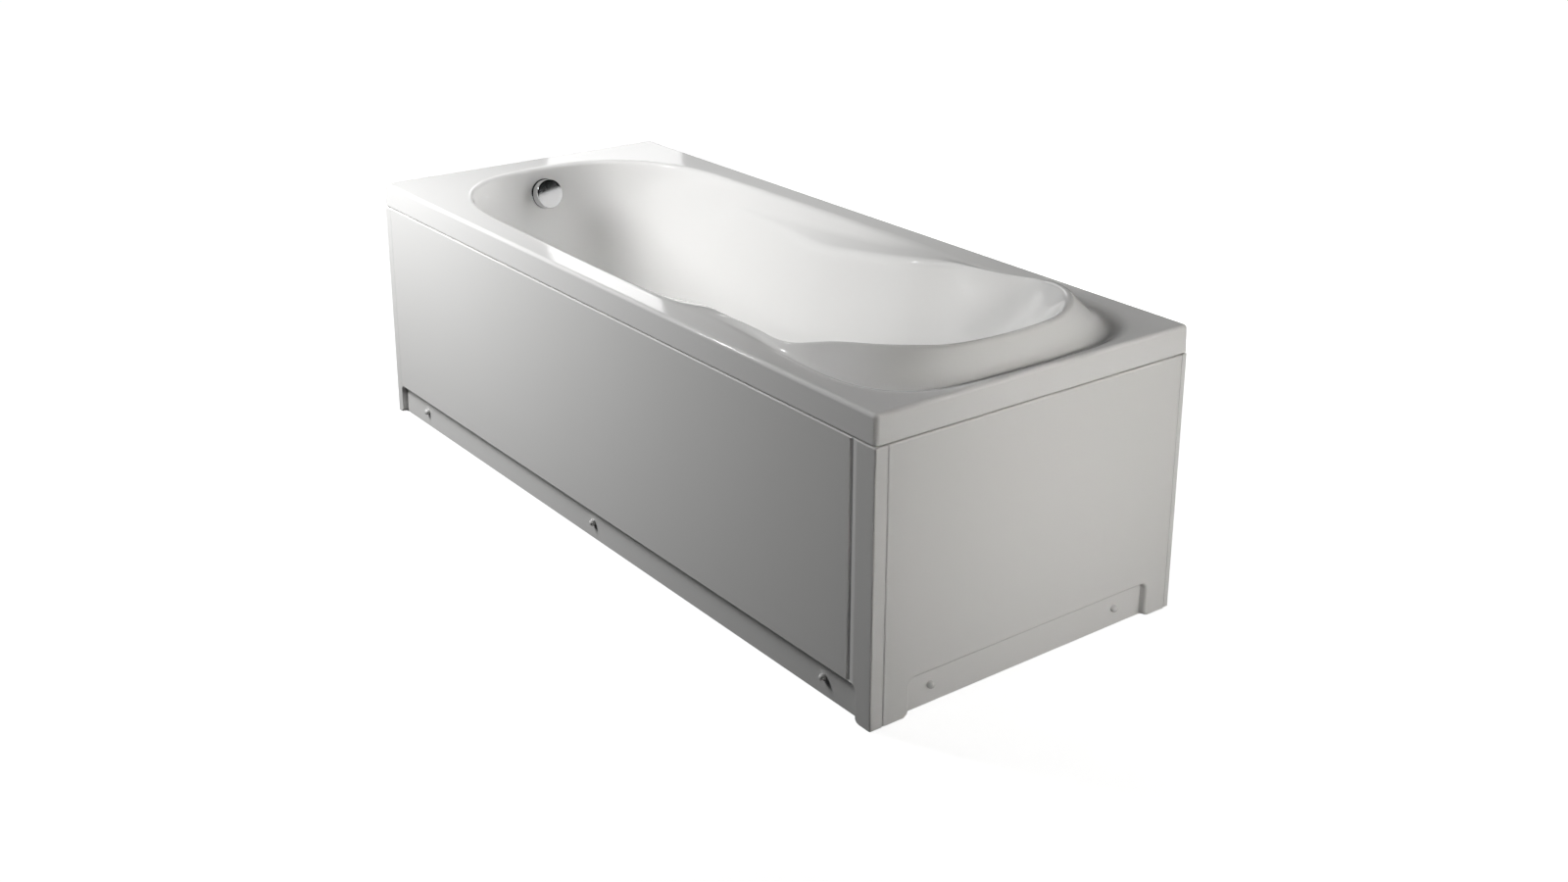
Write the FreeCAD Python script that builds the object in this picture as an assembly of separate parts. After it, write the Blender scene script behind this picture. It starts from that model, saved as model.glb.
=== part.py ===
import FreeCAD, Part
import math
import os
from FreeCAD import Vector as V

# ---------------------------------------------------------------------------
# Panelled acrylic bathtub with head-rest roll, pop-up waste and overflow.
# Millimetres.  X = length (+X head end, -X waste end), Y = width (-Y long
# panelled side, +Y wall side), Z up.  Origin: floor level, centre of plan.
# ---------------------------------------------------------------------------

# overall bath
LENGTH = 1700.0
WIDTH = 700.0
RIM_Z = 540.0            # top of the flat rim above the floor
SKIRT_H = 50.0           # height of the down-turned rim skirt
SKIRT_DRAFT = 1.5        # the skirt is this much wider at its foot
RIM_T = 8.0              # rim thickness with its reinforcement
SKIRT_T = 5.0
SHELL_T = 5.0            # wall thickness of the basin
SKIRT_R = 9.0            # plan radius of the rim's corners
TOP_R = 5.0              # rounding of the rim's outer top edge

# basin floor: a plane that falls to the waste
WASTE_X = -560.0
FLOOR_Z = 122.0
FLOOR_FALL = 0.008
WASTE_HOLE_R = 27.0

# setbacks of the rounded corners of the basin's section
SET_RIM = 10.0
SET_LEDGE = 8.0
SET_ROLL = 13.0
SET_FLOOR = 75.0

# overflow, on the end wall
OVER_DZ = -60.0
OVER_HOLE_R = 26.0
KNOB_R = 33.0
KNOB_BACK = 9.0          # the knob's rear edge, over the wall; water enters under it
KNOB_FACE = 30.0         # the knob's flat face, over the wall
KNOB_EDGE = 3.0          # rounding between the face and the side

# panels
PANEL_T = 3.5
PANEL_TOP = 487.5
PANEL_FOOT = 2.0         # gap under the panels
RECESS_TOP = 67.0
RECESS_D = 12.0
FRONT_REC = (-828.0, 812.0)
END_Y = (-323.0, 337.0)
END_REC = (-269.0, 284.0)
RETURN_Y = -325.0        # far edge of the front panel's return at the corner
LIP_H = 17.0
KNOB_Z = 36.0
FRONT_KNOB_X = (-718.0, -5.0, 718.0)
END_KNOB_Y = (-215.0, 215.0)
SCREW_R = 2.5
SCREW_CLEAR = 0.05
RAIL_HOLE_R = 3.6

# steel frame
TUBE = 25.0
TUBE_T = 1.5
LONG_Z0 = 76.0           # underside of the two long rails
CROSS_Z0 = 51.0          # underside of the three cross rails
LONG_Y = 150.0
LONG_X = (-470.0 - 60.0, 815.0)
CROSS_X = (-470.0, 50.0, 570.0)
CROSS_Y = 312.0
FOOT_Y = 280.0
SPINDLE_R = 6.0
SPINDLE_CLEAR = 0.06
PAD_R = 25.0

# waste and outlet
OUTLET_Z = 42.0
OUTLET_R = 20.0
OUTLET_END_Y = 230.0
HOSE_R = 19.5
HOSE_BORE = 16.3
HOSE_X = -786.0
HOSE_Z = 90.0

HX = LENGTH / 2.0
HY = WIDTH / 2.0

# ---------------------------------------------------------------------------
# helpers
# ---------------------------------------------------------------------------
os.makedirs("parts", exist_ok=True)


def box(x0, x1, y0, y1, z0, z1):
    return Part.makeBox(x1 - x0, y1 - y0, z1 - z0, V(x0, y0, z0))


def cyl(p, d, r, h):
    return Part.makeCylinder(r, h, V(*p), V(*d))


def ring(p, d, ro, ri, h):
    d = V(*d)
    d.normalize()
    inner = Part.makeCylinder(ri, h + 2.0, V(*p) - d, d)
    return Part.makeCylinder(ro, h, V(*p), d).cut(inner)


def fuse(items):
    s = items[0]
    if len(items) > 1:
        s = s.multiFuse(items[1:])
    return s.removeSplitter()


def hexprism(p, d, af, h):
    d = V(*d)
    d.normalize()
    rr = af / math.sqrt(3.0)
    u = V(0, 1, 0) if abs(d.x) > 0.7 else V(1, 0, 0)
    u = (u - d * u.dot(d))
    u.normalize()
    w = d.cross(u)
    pts = []
    for k in range(6):
        a = math.radians(60.0 * k)
        pts.append(V(*p) + u * (rr * math.cos(a)) + w * (rr * math.sin(a)))
    pts.append(pts[0])
    return Part.Face(Part.makePolygon(pts)).extrude(d * h)


def save(name, shape):
    if isinstance(shape, (list, tuple)):
        shape = Part.makeCompound(list(shape))
    bad = [s for s in shape.Solids if (not s.isValid()) or s.Volume <= 0]
    bb = shape.BoundBox
    print("%-22s solids %d  vol %9.1f cm3  x %.1f..%.1f  y %.1f..%.1f  z %.1f..%.1f %s" % (
        name, len(shape.Solids), shape.Volume / 1000.0, bb.XMin, bb.XMax,
        bb.YMin, bb.YMax, bb.ZMin, bb.ZMax, "BAD" if bad or not shape.Solids else ""))
    if len(shape.Solids) == 1:
        shape = shape.Solids[0]
    shape.exportStep("parts/%s.step" % name)


# ---------------------------------------------------------------------------
# basin surface
# Stations run round half of the opening, from the middle of the waste end to
# the middle of the head end.  Columns: K1 = corner between the flat rim and
# the inside (x, y); K2 = foot of the rim's inner face, outer edge of the arm
# ledge, bottom of the groove behind the head roll (x, y, height over rim);
# K3 = top of the basin wall, inner edge of the arm ledge, crest of the head
# roll (x, y, height over rim); K5 = foot of the wall at the floor (x, y).
# ---------------------------------------------------------------------------
ST = [
    (-770, 0, -761.9, 0, -42, -757.0, 0, -68, -690, 0),
    (-760, 97, -752.4, 93.5, -42, -747.6, 91.3, -68, -684, 62),
    (-730, 164, -723.8, 158.4, -42, -719.9, 154.9, -68, -668, 108),
    (-680, 216, -676.0, 208.7, -42, -673.5, 204.1, -68, -640, 143),
    (-612, 254, -610.6, 245.4, -42, -609.7, 240.0, -68, -598, 168),
    (-522, 277, -522.8, 267.6, -42, -523.3, 261.8, -68, -530, 184),
    (-425, 284, -425.0, 275.2, -42, -425.0, 269.2, -66, -430, 192),
    (-330, 286.5, -332, 272.5, -41, -330, 265.5, -53, -335, 196),
    (-232, 288.5, -232, 270.5, -37, -230, 257.5, -52, -237, 198),
    (-136, 290.5, -136, 270.0, -33, -136, 244.5, -55, -142, 198),
    (-40, 292, -40, 270.0, -29, -38, 231.5, -52, -47, 197),
    (55, 293, 55, 270.0, -22, 57, 228.0, -40, 45, 194),
    (150, 293, 150, 270.5, -13, 158, 230.5, -26, 130, 189),
    (247, 292, 248, 273.0, -3, 262, 237.5, -9, 204, 182),
    (345, 292, 347, 278.0, -1, 356, 260.0, 5, 262, 173),
    (442, 295, 443, 285.0, -1, 450, 273.0, 10, 308, 161),
    (540, 302, 540, 295.0, -2, 541, 285.0, 20, 345, 145),
    (640, 305, 632, 288.0, -9, 620, 256.0, 38.5, 373, 123),
    (735, 290, 712, 266.0, -15, 684, 220.5, 46, 393, 97),
    (797, 245, 770, 215.0, -19, 729, 178.0, 48, 405, 70),
    (826, 175, 800, 148.0, -21, 760, 126.0, 47, 412, 46),
    (834, 90, 812, 75.0, -21, 772.5, 64.0, 46.5, 416, 23),
    (836, 0, 815, 0, -21, 775, 0, 46, 418, 0),
]


def periodic(vals):
    n = len(vals)
    m = [0.0] * n
    for _ in range(80):
        for i in range(n):
            m[i] = (6.0 * (vals[i - 1] - 2.0 * vals[i] + vals[(i + 1) % n])
                    - m[i - 1] - m[(i + 1) % n]) / 4.0

    def f(u):
        k = math.floor(u)
        t = u - k
        i = int(k) % n
        j = (i + 1) % n
        return ((1 - t) * vals[i] + t * vals[j]
                + ((1 - t) ** 3 - (1 - t)) * m[i] / 6.0
                + (t ** 3 - t) * m[j] / 6.0)
    return f


HALF = len(ST) - 1
LOOP = 2 * HALF


def column(c, odd):
    half = [s[c] for s in ST]
    back = [(-1.0 if odd else 1.0) * v for v in half[-2:0:-1]]
    return periodic([float(v) for v in half + back])


CURVES = [column(c, c in (1, 3, 6, 9)) for c in range(10)]


def floor_z(x):
    return FLOOR_Z + FLOOR_FALL * (x - WASTE_X)


def unit(v):
    n = v.Length
    return v * (1.0 / n) if n > 1e-9 else v


def keys(u):
    c = [f(u) for f in CURVES]
    return [V(c[0], c[1], RIM_Z), V(c[2], c[3], RIM_Z + c[4]),
            V(c[5], c[6], RIM_Z + c[7]), V(c[8], c[9], floor_z(c[8]))]


def section(u, t=0.0):
    # t = 0: visible surface; t > 0: underside, t below it
    ks = keys(u)
    du = [q - p for p, q in zip(keys(u - 0.02), keys(u + 0.02))]
    k1, k2, k3, k5 = ks
    ax = min(max(k5.x, WASTE_X), 250.0)
    dirs = [unit(V(k2.x - k1.x, k2.y - k1.y, 0)), unit(k2 - k1), unit(k3 - k2), unit(k5 - k3),
            unit(V(ax - k5.x, -k5.y, FLOOR_FALL * (ax - k5.x)))]
    l12 = (k2 - k1).Length
    l23 = (k3 - k2).Length
    far = max(0.0, l23 - 45.0)
    s1 = min(SET_RIM, 0.45 * l12)
    sets = [(s1, s1),
            (min(SET_LEDGE + 0.18 * far, 0.48 * l12), min(SET_LEDGE + 0.18 * far, 0.42 * l23)),
            (min(SET_ROLL + 0.06 * far, 0.42 * l23), 1.3 * min(SET_ROLL + 0.06 * far, 0.42 * l23)),
            (SET_FLOOR, SET_FLOOR)]
    rows = []
    for i in range(4):
        p = ks[i]
        d1, d2 = dirs[i], dirs[i + 1]
        sa, sb = sets[i]
        if t > 0.0:
            tan = unit(du[i])
            n1 = unit(tan.cross(d1))
            n2 = unit(tan.cross(d2))
            if n1.z < 0:
                n1 = n1 * -1.0
            if n2.z < 0:
                n2 = n2 * -1.0
            p = p - (n1 + n2) * (t / (1.0 + n1.dot(n2)))
            turn = math.acos(max(-1.0, min(1.0, d1.dot(d2))))
            grow = t * math.tan(turn / 2.0) * (1.0 if (d2 - d1).z > 0 else -1.0)
            sa = max(sa + grow, 1.5)
            sb = max(sb + grow, 1.5)
        pa = p - d1 * sa
        pb = p + d2 * sb
        n = 6 if i == 3 else 4
        for k in range(n + 1):
            w = k / float(n)
            rows.append(pa * ((1 - w) ** 2) + p * (2 * w * (1 - w)) + pb * (w * w))
    return rows


COLS = 2 * LOOP
GRID = [section(LOOP * i / float(COLS)) for i in range(COLS)]
NROW = len(GRID[0])


PARAMS = [float(i) for i in range(COLS + 1)]


def loop_wire(pts):
    b = Part.BSplineCurve()
    b.interpolate(Points=pts, PeriodicFlag=True, Parameters=PARAMS)
    return Part.Wire([b.toShape()])


def stack(rows_of_points):
    return Part.makeLoft([loop_wire(p) for p in rows_of_points], True, True)


upper = [[GRID[i][r] for i in range(COLS)] for r in range(NROW)]
void_rows = [[V(p.x, p.y, RIM_Z + 90.0) for p in upper[0]]] + upper
void_top = stack(void_rows)

R0 = 4                                    # first row past the rim's rounding
LOW = [section(LOOP * i / float(COLS), SHELL_T) for i in range(COLS)]
lower = [[LOW[i][r] for i in range(COLS)] for r in range(R0, NROW)]
under_rows = [[V(p.x, p.y, RIM_Z + 60.0) for p in lower[0]]] + lower
under_body = stack(under_rows)
print("void_top valid", void_top.isValid(), void_top.Volume / 1e6, "under valid", under_body.isValid(), under_body.Volume / 1e6)


def round_rect(hx, hy, r, z):
    e = []
    e.append(Part.LineSegment(V(-hx + r, -hy, z), V(hx - r, -hy, z)).toShape())
    k = r * (1 - math.sqrt(0.5))
    e.append(Part.Arc(V(hx - r, -hy, z), V(hx - k, -hy + k, z), V(hx, -hy + r, z)).toShape())
    e.append(Part.LineSegment(V(hx, -hy + r, z), V(hx, hy - r, z)).toShape())
    e.append(Part.Arc(V(hx, hy - r, z), V(hx - k, hy - k, z), V(hx - r, hy, z)).toShape())
    e.append(Part.LineSegment(V(hx - r, hy, z), V(-hx + r, hy, z)).toShape())
    e.append(Part.Arc(V(-hx + r, hy, z), V(-hx + k, hy - k, z), V(-hx, hy - r, z)).toShape())
    e.append(Part.LineSegment(V(-hx, hy - r, z), V(-hx, -hy + r, z)).toShape())
    e.append(Part.Arc(V(-hx, -hy + r, z), V(-hx + k, -hy + k, z), V(-hx + r, -hy, z)).toShape())
    return Part.Wire(e)


z_sk = RIM_Z - SKIRT_H
block = Part.makeLoft([round_rect(HX, HY, SKIRT_R, z_sk),
                       round_rect(HX - SKIRT_DRAFT, HY - SKIRT_DRAFT, SKIRT_R, RIM_Z)], True, True)
top_edges = [e for e in block.Edges
             if abs(e.BoundBox.ZMin - RIM_Z) < 0.01 and abs(e.BoundBox.ZMax - RIM_Z) < 0.01]
block = block.makeFillet(TOP_R, top_edges)
cavity = Part.makeLoft([round_rect(HX - SKIRT_T, HY - SKIRT_T, SKIRT_R - 4.0, z_sk - 1.0),
                        round_rect(HX - SKIRT_T - 1.0, HY - SKIRT_T - 1.0, SKIRT_R - 4.0, RIM_Z - RIM_T)], True, True)
block = block.cut(cavity)
# the rim is open over the whole basin, also under the hollow head roll
rim_hole = Part.makeLoft([loop_wire([V(q.x, q.y, RIM_Z - 20.0) for q in lower[1]]),
                          loop_wire([V(q.x, q.y, RIM_Z + 6.0) for q in lower[1]])], True, True)
block = block.cut(rim_hole)

# wall of the basin at the overflow
e_top = V(-770.0, 0, RIM_Z)
e_bot = V(-690.0, 0, floor_z(-690.0))
wall_dir = unit(e_bot - e_top)
over_n = V(-wall_dir.z, 0, wall_dir.x)            # into the basin, tilted up
over_o = e_top + wall_dir * (-OVER_DZ / -wall_dir.z)

shell = block.fuse(under_body)
shell = shell.cut(void_top)
shell = shell.cut(Part.makeCylinder(OVER_HOLE_R, 60.0, over_o - over_n * 30.0, over_n))
shell = shell.cut(cyl((WASTE_X, 0, 90), (0, 0, 1), WASTE_HOLE_R, 60.0))
save("bath_shell", shell)


def at_over(n, up=0.0, side=0.0):
    z = V(-over_n.z, 0, over_n.x)
    return over_o + over_n * n + z * up + V(0, side, 0)


def ocyl(n0, n1, r):
    return Part.makeCylinder(r, n1 - n0, at_over(n0), over_n)


# ---------------------------------------------------------------------------
# board bonded under the basin floor
# ---------------------------------------------------------------------------
bx0, bx1, by, bz = WASTE_X + 60.0, 330.0, 165.0, LONG_Z0 + TUBE
pts = [V(bx0, -by, bz), V(bx1, -by, bz), V(bx1, -by, floor_z(bx1) - SHELL_T - 0.05),
       V(bx0, -by, floor_z(bx0) - SHELL_T - 0.05), V(bx0, -by, bz)]
board = Part.Face(Part.makePolygon(pts)).extrude(V(0, 2 * by, 0))
# corners of the board are cut back to stay under the flat of the floor
for sx, x in ((-1, bx0), (1, bx1)):
    for sy in (-1, 1):
        tri = Part.Face(Part.makePolygon([V(x, sy * by, bz - 1), V(x - sx * 60.0, sy * by, bz - 1),
                                          V(x, sy * (by - 60.0), bz - 1), V(x, sy * by, bz - 1)]))
        board = board.cut(tri.extrude(V(0, 0, 60.0)))
board = board.cut(under_body)
save("base_board", board)

# ---------------------------------------------------------------------------
# steel frame: two long rails on three cross rails, bolted where they cross
# ---------------------------------------------------------------------------
BOLT_R = 4.0


def tube_x(x0, x1, yc, z0):
    o = box(x0, x1, yc - TUBE / 2, yc + TUBE / 2, z0, z0 + TUBE)
    i = box(x0 - 1, x1 + 1, yc - TUBE / 2 + TUBE_T, yc + TUBE / 2 - TUBE_T, z0 + TUBE_T, z0 + TUBE - TUBE_T)
    return o.cut(i)


def tube_y(xc, y0, y1, z0):
    o = box(xc - TUBE / 2, xc + TUBE / 2, y0, y1, z0, z0 + TUBE)
    i = box(xc - TUBE / 2 + TUBE_T, xc + TUBE / 2 - TUBE_T, y0 - 1, y1 + 1, z0 + TUBE_T, z0 + TUBE - TUBE_T)
    return o.cut(i)


RAIL_SCREW_R = 1.8
RAIL_SCREW_Y = -300.0
RAIL_SCREW_X = 797.0
for nm, yc in (("frame_rail_front", -LONG_Y), ("frame_rail_rear", LONG_Y)):
    t = tube_x(LONG_X[0], LONG_X[1], yc, LONG_Z0)
    t = t.cut(cyl((RAIL_SCREW_X, yc, LONG_Z0 - 1), (0, 0, 1), RAIL_SCREW_R + 0.05, 5.0))
    for xc in CROSS_X:
        t = t.cut(cyl((xc, yc, LONG_Z0 - 1), (0, 0, 1), BOLT_R + 0.3, 10.0))
        t = t.cut(cyl((xc, yc, LONG_Z0 + TUBE - 5), (0, 0, 1), 8.5, 10.0))
    save(nm, t)

FEET = [("drain_front", CROSS_X[0], -FOOT_Y), ("drain_rear", CROSS_X[0], FOOT_Y),
        ("middle", CROSS_X[1], 0.0),
        ("head_front", CROSS_X[2], -FOOT_Y), ("head_rear", CROSS_X[2], FOOT_Y)]

for nm, xc in (("cross_rail_drain", CROSS_X[0]), ("cross_rail_middle", CROSS_X[1]),
               ("cross_rail_head", CROSS_X[2])):
    t = tube_y(xc, -CROSS_Y, CROSS_Y, CROSS_Z0)
    t = t.cut(cyl((xc, RAIL_SCREW_Y, CROSS_Z0 - 1), (0, 0, 1), RAIL_SCREW_R + 0.05, 5.0))
    for yc in (-LONG_Y, LONG_Y):
        t = t.cut(cyl((xc, yc, CROSS_Z0 - 1), (0, 0, 1), BOLT_R + 0.3, TUBE + 2))
    for fn, fx, fy in FEET:
        if fx == xc:
            t = t.cut(cyl((fx, fy, CROSS_Z0 - 1), (0, 0, 1), SPINDLE_R + SPINDLE_CLEAR, TUBE + 2))
    save(nm, t)

caps = []
for xe, s in ((LONG_X[0], 1), (LONG_X[1], -1)):
    for yc in (-LONG_Y, LONG_Y):
        a = TUBE / 2
        b = TUBE / 2 - TUBE_T - 0.1
        zc = LONG_Z0 + TUBE / 2
        lid = box(min(xe, xe - 2.5 * s), max(xe, xe - 2.5 * s), yc - a, yc + a, zc - a, zc + a)
        plug = box(min(xe, xe + 8 * s), max(xe, xe + 8 * s), yc - b, yc + b, zc - b, zc + b)
        caps.append(fuse([lid, plug]))
for xc in CROSS_X:
    for ye, s in ((-CROSS_Y, 1), (CROSS_Y, -1)):
        a = TUBE / 2
        b = TUBE / 2 - TUBE_T - 0.1
        zc = CROSS_Z0 + TUBE / 2
        lid = box(xc - a, xc + a, min(ye, ye - 2.5 * s), max(ye, ye - 2.5 * s), zc - a, zc + a)
        plug = box(xc - b, xc + b, min(ye, ye + 8 * s), max(ye, ye + 8 * s), zc - b, zc + b)
        caps.append(fuse([lid, plug]))
save("rail_end_caps", caps)

bolts, nuts = [], []
for xc in CROSS_X:
    for yc in (-LONG_Y, LONG_Y):
        head = hexprism((xc, yc, CROSS_Z0 - 5.0), (0, 0, 1), 13.0, 5.0)
        sh = cyl((xc, yc, CROSS_Z0 - 2.0), (0, 0, 1), BOLT_R, 38.0)
        bolts.append(fuse([head, sh]))
        nut = hexprism((xc, yc, LONG_Z0 + TUBE_T), (0, 0, 1), 13.0, 6.0)
        nuts.append(nut.cut(cyl((xc, yc, LONG_Z0), (0, 0, 1), BOLT_R + 0.02, 12.0)))
save("frame_bolts", bolts)
save("frame_nuts", nuts)

# ---------------------------------------------------------------------------
# levelling feet: spindle and pad move up and down in the cross rails
# ---------------------------------------------------------------------------
weld, lock = [], []
for fn, fx, fy in FEET:
    top = 84.0 if fn == "middle" else 112.0
    spindle = fuse([cyl((fx, fy, 7.0), (0, 0, 1), SPINDLE_R, top - 7.0 - 1.0),
                    Part.makeCone(SPINDLE_R, SPINDLE_R - 1.0, 1.0, V(fx, fy, top - 1.0), V(0, 0, 1)),
                    hexprism((fx, fy, 14.5), (0, 0, 1), 17.0, 6.0)])
    save("foot_spindle_" + fn, spindle)
    prof = [V(fx, fy, 0), V(fx + PAD_R - 1.0, fy, 0), V(fx + PAD_R, fy, 1.0), V(fx + PAD_R, fy, 4.0),
            V(fx + 12.0, fy, 9.0), V(fx + 10.0, fy, 14.0), V(fx, fy, 14.0), V(fx, fy, 0)]
    pad = Part.Face(Part.makePolygon(prof)).revolve(V(fx, fy, 0), V(0, 0, 1), 360)
    pad = pad.cut(cyl((fx, fy, 7.0), (0, 0, 1), SPINDLE_R, 10.0))
    save("foot_pad_" + fn, pad)
    weld.append(hexprism((fx, fy, CROSS_Z0 - 8.0), (0, 0, 1), 19.0, 8.0)
                .cut(cyl((fx, fy, CROSS_Z0 - 9.0), (0, 0, 1), SPINDLE_R + SPINDLE_CLEAR, 10.0)))
    lock.append(hexprism((fx, fy, CROSS_Z0 + TUBE), (0, 0, 1), 19.0, 6.0)
                .cut(cyl((fx, fy, CROSS_Z0 + TUBE - 1), (0, 0, 1), SPINDLE_R + SPINDLE_CLEAR, 8.0)))
save("foot_weld_nuts", weld)
save("foot_lock_nuts", lock)

# ---------------------------------------------------------------------------
# angle rails that carry the lower edge of each panel
# ---------------------------------------------------------------------------
fy_face = -HY + RECESS_D + PANEL_T + 1.0          # front of the front rail's leaf
leaf = 2.0
fr = fuse([box(-800, 780, fy_face, fy_face + leaf, 20.0, CROSS_Z0),
           box(-800, 780, fy_face, -292.0, CROSS_Z0 - leaf, CROSS_Z0)])
for x in CROSS_X:
    fr = fr.cut(cyl((x, RAIL_SCREW_Y, CROSS_Z0 - 5), (0, 0, 1), RAIL_SCREW_R + 0.05, 10.0))
for x in FRONT_KNOB_X:
    fr = fr.cut(cyl((x, fy_face - 5, KNOB_Z), (0, 1, 0), RAIL_HOLE_R, 12.0))
save("panel_rail_front", fr)

ex_face = HX - RECESS_D - PANEL_T - 1.0
er = fuse([box(ex_face - leaf, ex_face, -300.0, 318.0, 20.0, LONG_Z0),
           box(LONG_X[1] - 30.0, ex_face, -300.0, 318.0, LONG_Z0 - leaf, LONG_Z0)])
for y in END_KNOB_Y:
    er = er.cut(cyl((ex_face + 5, y, KNOB_Z), (-1, 0, 0), RAIL_HOLE_R, 12.0))
for y in (-LONG_Y, LONG_Y):
    er = er.cut(cyl((RAIL_SCREW_X, y, LONG_Z0 - 5), (0, 0, 1), RAIL_SCREW_R + 0.05, 10.0))
save("panel_rail_end", er)



def pan_screw(x, y, z_seat, length):
    # pan-head screw driven upwards, head under z_seat
    prof = [V(x, y, z_seat), V(x + 3.6, y, z_seat), V(x + 3.6, y, z_seat - 1.2), V(x + 2.4, y, z_seat - 2.4),
            V(x, y, z_seat - 2.4), V(x, y, z_seat)]
    head = Part.Face(Part.makePolygon(prof)).revolve(V(x, y, 0), V(0, 0, 1), 360)
    return fuse([head, cyl((x, y, z_seat - 0.5), (0, 0, 1), RAIL_SCREW_R, length + 0.5)])


rs = [pan_screw(xc, RAIL_SCREW_Y, CROSS_Z0 - leaf, 12.0) for xc in CROSS_X]
rs += [pan_screw(RAIL_SCREW_X, yc, LONG_Z0 - leaf, 12.0) for yc in (-LONG_Y, LONG_Y)]
save("rail_screws", rs)

# ---------------------------------------------------------------------------
# clips under the rim that press the panels' top lips against the skirt
# ---------------------------------------------------------------------------
z_rim = RIM_Z - RIM_T
clips = []
clip_screws = []
END_CLIP_Y = (-290.0, 290.0)


def clip(px, py, dx, dy):
    # px, py: middle of the clip; dx, dy: towards the outside of the bath
    tx, ty = -dy, dx

    def b(o0, o1, t0, t1, z0, z1):
        xs = sorted((px + dx * o0 + tx * t0, px + dx * o1 + tx * t1))
        ys = sorted((py + dy * o0 + ty * t0, py + dy * o1 + ty * t1))
        return box(xs[0], xs[1], ys[0], ys[1], z0, z1)
    base = b(-16.0, 0.0, -15.0, 15.0, z_rim - 3.0, z_rim)
    tongue = b(-3.0, 0.0, -15.0, 15.0, z_rim - 30.0, z_rim)
    nose = b(-3.0, 2.0, -15.0, 15.0, z_rim - 30.0, z_rim - 26.0)
    rib = b(-14.0, 0.0, -1.5, 1.5, z_rim - 16.0, z_rim)
    sx, sy = px - dx * 10.0 + tx * 8.5, py - dy * 10.0 + ty * 8.5
    clip_screws.append(pan_screw(sx, sy, z_rim - 3.0, 7.0))
    return fuse([base, tongue, nose, rib]).cut(cyl((sx, sy, z_rim - 5), (0, 0, 1), RAIL_SCREW_R + 0.05, 8.0))


for x in FRONT_KNOB_X:
    clips.append(clip(x, -HY + 26.0, 0, -1))
for y in END_CLIP_Y:
    clips.append(clip(HX - 26.0, y, 1, 0))
save("panel_clips", clips)
save("clip_screws", clip_screws)

# ---------------------------------------------------------------------------
# front panel, hung behind the skirt, swings out about its top edge
# ---------------------------------------------------------------------------
yo = -HY
T = PANEL_T
fp = [
    box(-HX, HX, yo, yo + T, PANEL_FOOT, PANEL_TOP),
    box(FRONT_REC[0] - T, FRONT_REC[1] + T, yo, yo + RECESS_D + T, PANEL_FOOT, RECESS_TOP + T),
    box(-HX, -HX + T, yo, yo + 26.0, PANEL_FOOT, PANEL_TOP),
    box(HX - T, HX, yo, RETURN_Y, PANEL_FOOT, PANEL_TOP),
    box(-HX + T, HX - T, yo, yo + 13.0, PANEL_TOP - T, PANEL_TOP),
    box(-800.0, 800.0, yo + 9.5, yo + 13.0, PANEL_TOP - T, PANEL_TOP + LIP_H),
]
front = fuse(fp)
rec = box(FRONT_REC[0], FRONT_REC[1], yo - 1, yo + RECESS_D, PANEL_FOOT - 1, RECESS_TOP)
rec_e = [e for e in rec.Edges if abs(e.BoundBox.XMax - e.BoundBox.XMin) < 0.01
         and e.BoundBox.ZMin > RECESS_TOP - 1 and e.BoundBox.YMax - e.BoundBox.YMin > 5]
rec = rec.makeFillet(10.0, rec_e)
front = front.cut(rec)
# upright V grooves near both ends of the face
for xa, xm, xb, deep in ((788.5, 795.0, 806.0, 2.4), (-828.6, -826.6, -824.6, 1.0)):
    ov = 0.5
    ra, rb = ov * (xm - xa) / deep, ov * (xb - xm) / deep
    vee = Part.Face(Part.makePolygon([V(xa - ra, yo - ov, RECESS_TOP - 1.0), V(xm, yo + deep, RECESS_TOP - 1.0),
                                      V(xb + rb, yo - ov, RECESS_TOP - 1.0), V(xa - ra, yo - ov, RECESS_TOP - 1.0)]))
    front = front.cut(vee.extrude(V(0, 0, PANEL_TOP - RECESS_TOP + 2.0)))
ce = [e for e in front.Edges if abs(e.BoundBox.ZMax - e.BoundBox.ZMin) > 300
      and abs(abs(e.BoundBox.XMin) - HX) < 0.01 and abs(e.BoundBox.XMax - e.BoundBox.XMin) < 0.01
      and abs(e.BoundBox.YMin - yo) < 0.01 and abs(e.BoundBox.YMax - yo) < 0.01]
front = front.makeFillet(3.0, ce)
for x in FRONT_KNOB_X:
    front = front.cut(cyl((x, yo - 5, KNOB_Z), (0, 1, 0), SCREW_R + SCREW_CLEAR, 40.0))
save("front_panel", front)

# ---------------------------------------------------------------------------
# end panel
# ---------------------------------------------------------------------------
xo = HX
ep = [
    box(xo - T, xo, END_Y[0], END_Y[1], PANEL_FOOT, PANEL_TOP),
    box(xo - RECESS_D - T, xo, END_REC[0] - T, END_REC[1] + T, PANEL_FOOT, RECESS_TOP + T),
    box(xo - 15.0, xo, END_Y[0], END_Y[0] + T, PANEL_FOOT, PANEL_TOP),
    box(xo - 15.0, xo, END_Y[1] - T, END_Y[1], PANEL_FOOT, PANEL_TOP),
    box(xo - 13.0, xo, END_Y[0], END_Y[1], PANEL_TOP - T, PANEL_TOP),
    box(xo - 13.0, xo - 9.5, END_Y[0] + 12.0, END_Y[1] - 12.0, PANEL_TOP - T, PANEL_TOP + LIP_H),
]
endp = fuse(ep)
rec = box(xo - RECESS_D, xo + 1, END_REC[0], END_REC[1], PANEL_FOOT - 1, RECESS_TOP)
rec_e = [e for e in rec.Edges if abs(e.BoundBox.YMax - e.BoundBox.YMin) < 0.01
         and e.BoundBox.ZMin > RECESS_TOP - 1 and e.BoundBox.XMax - e.BoundBox.XMin > 5]
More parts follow.
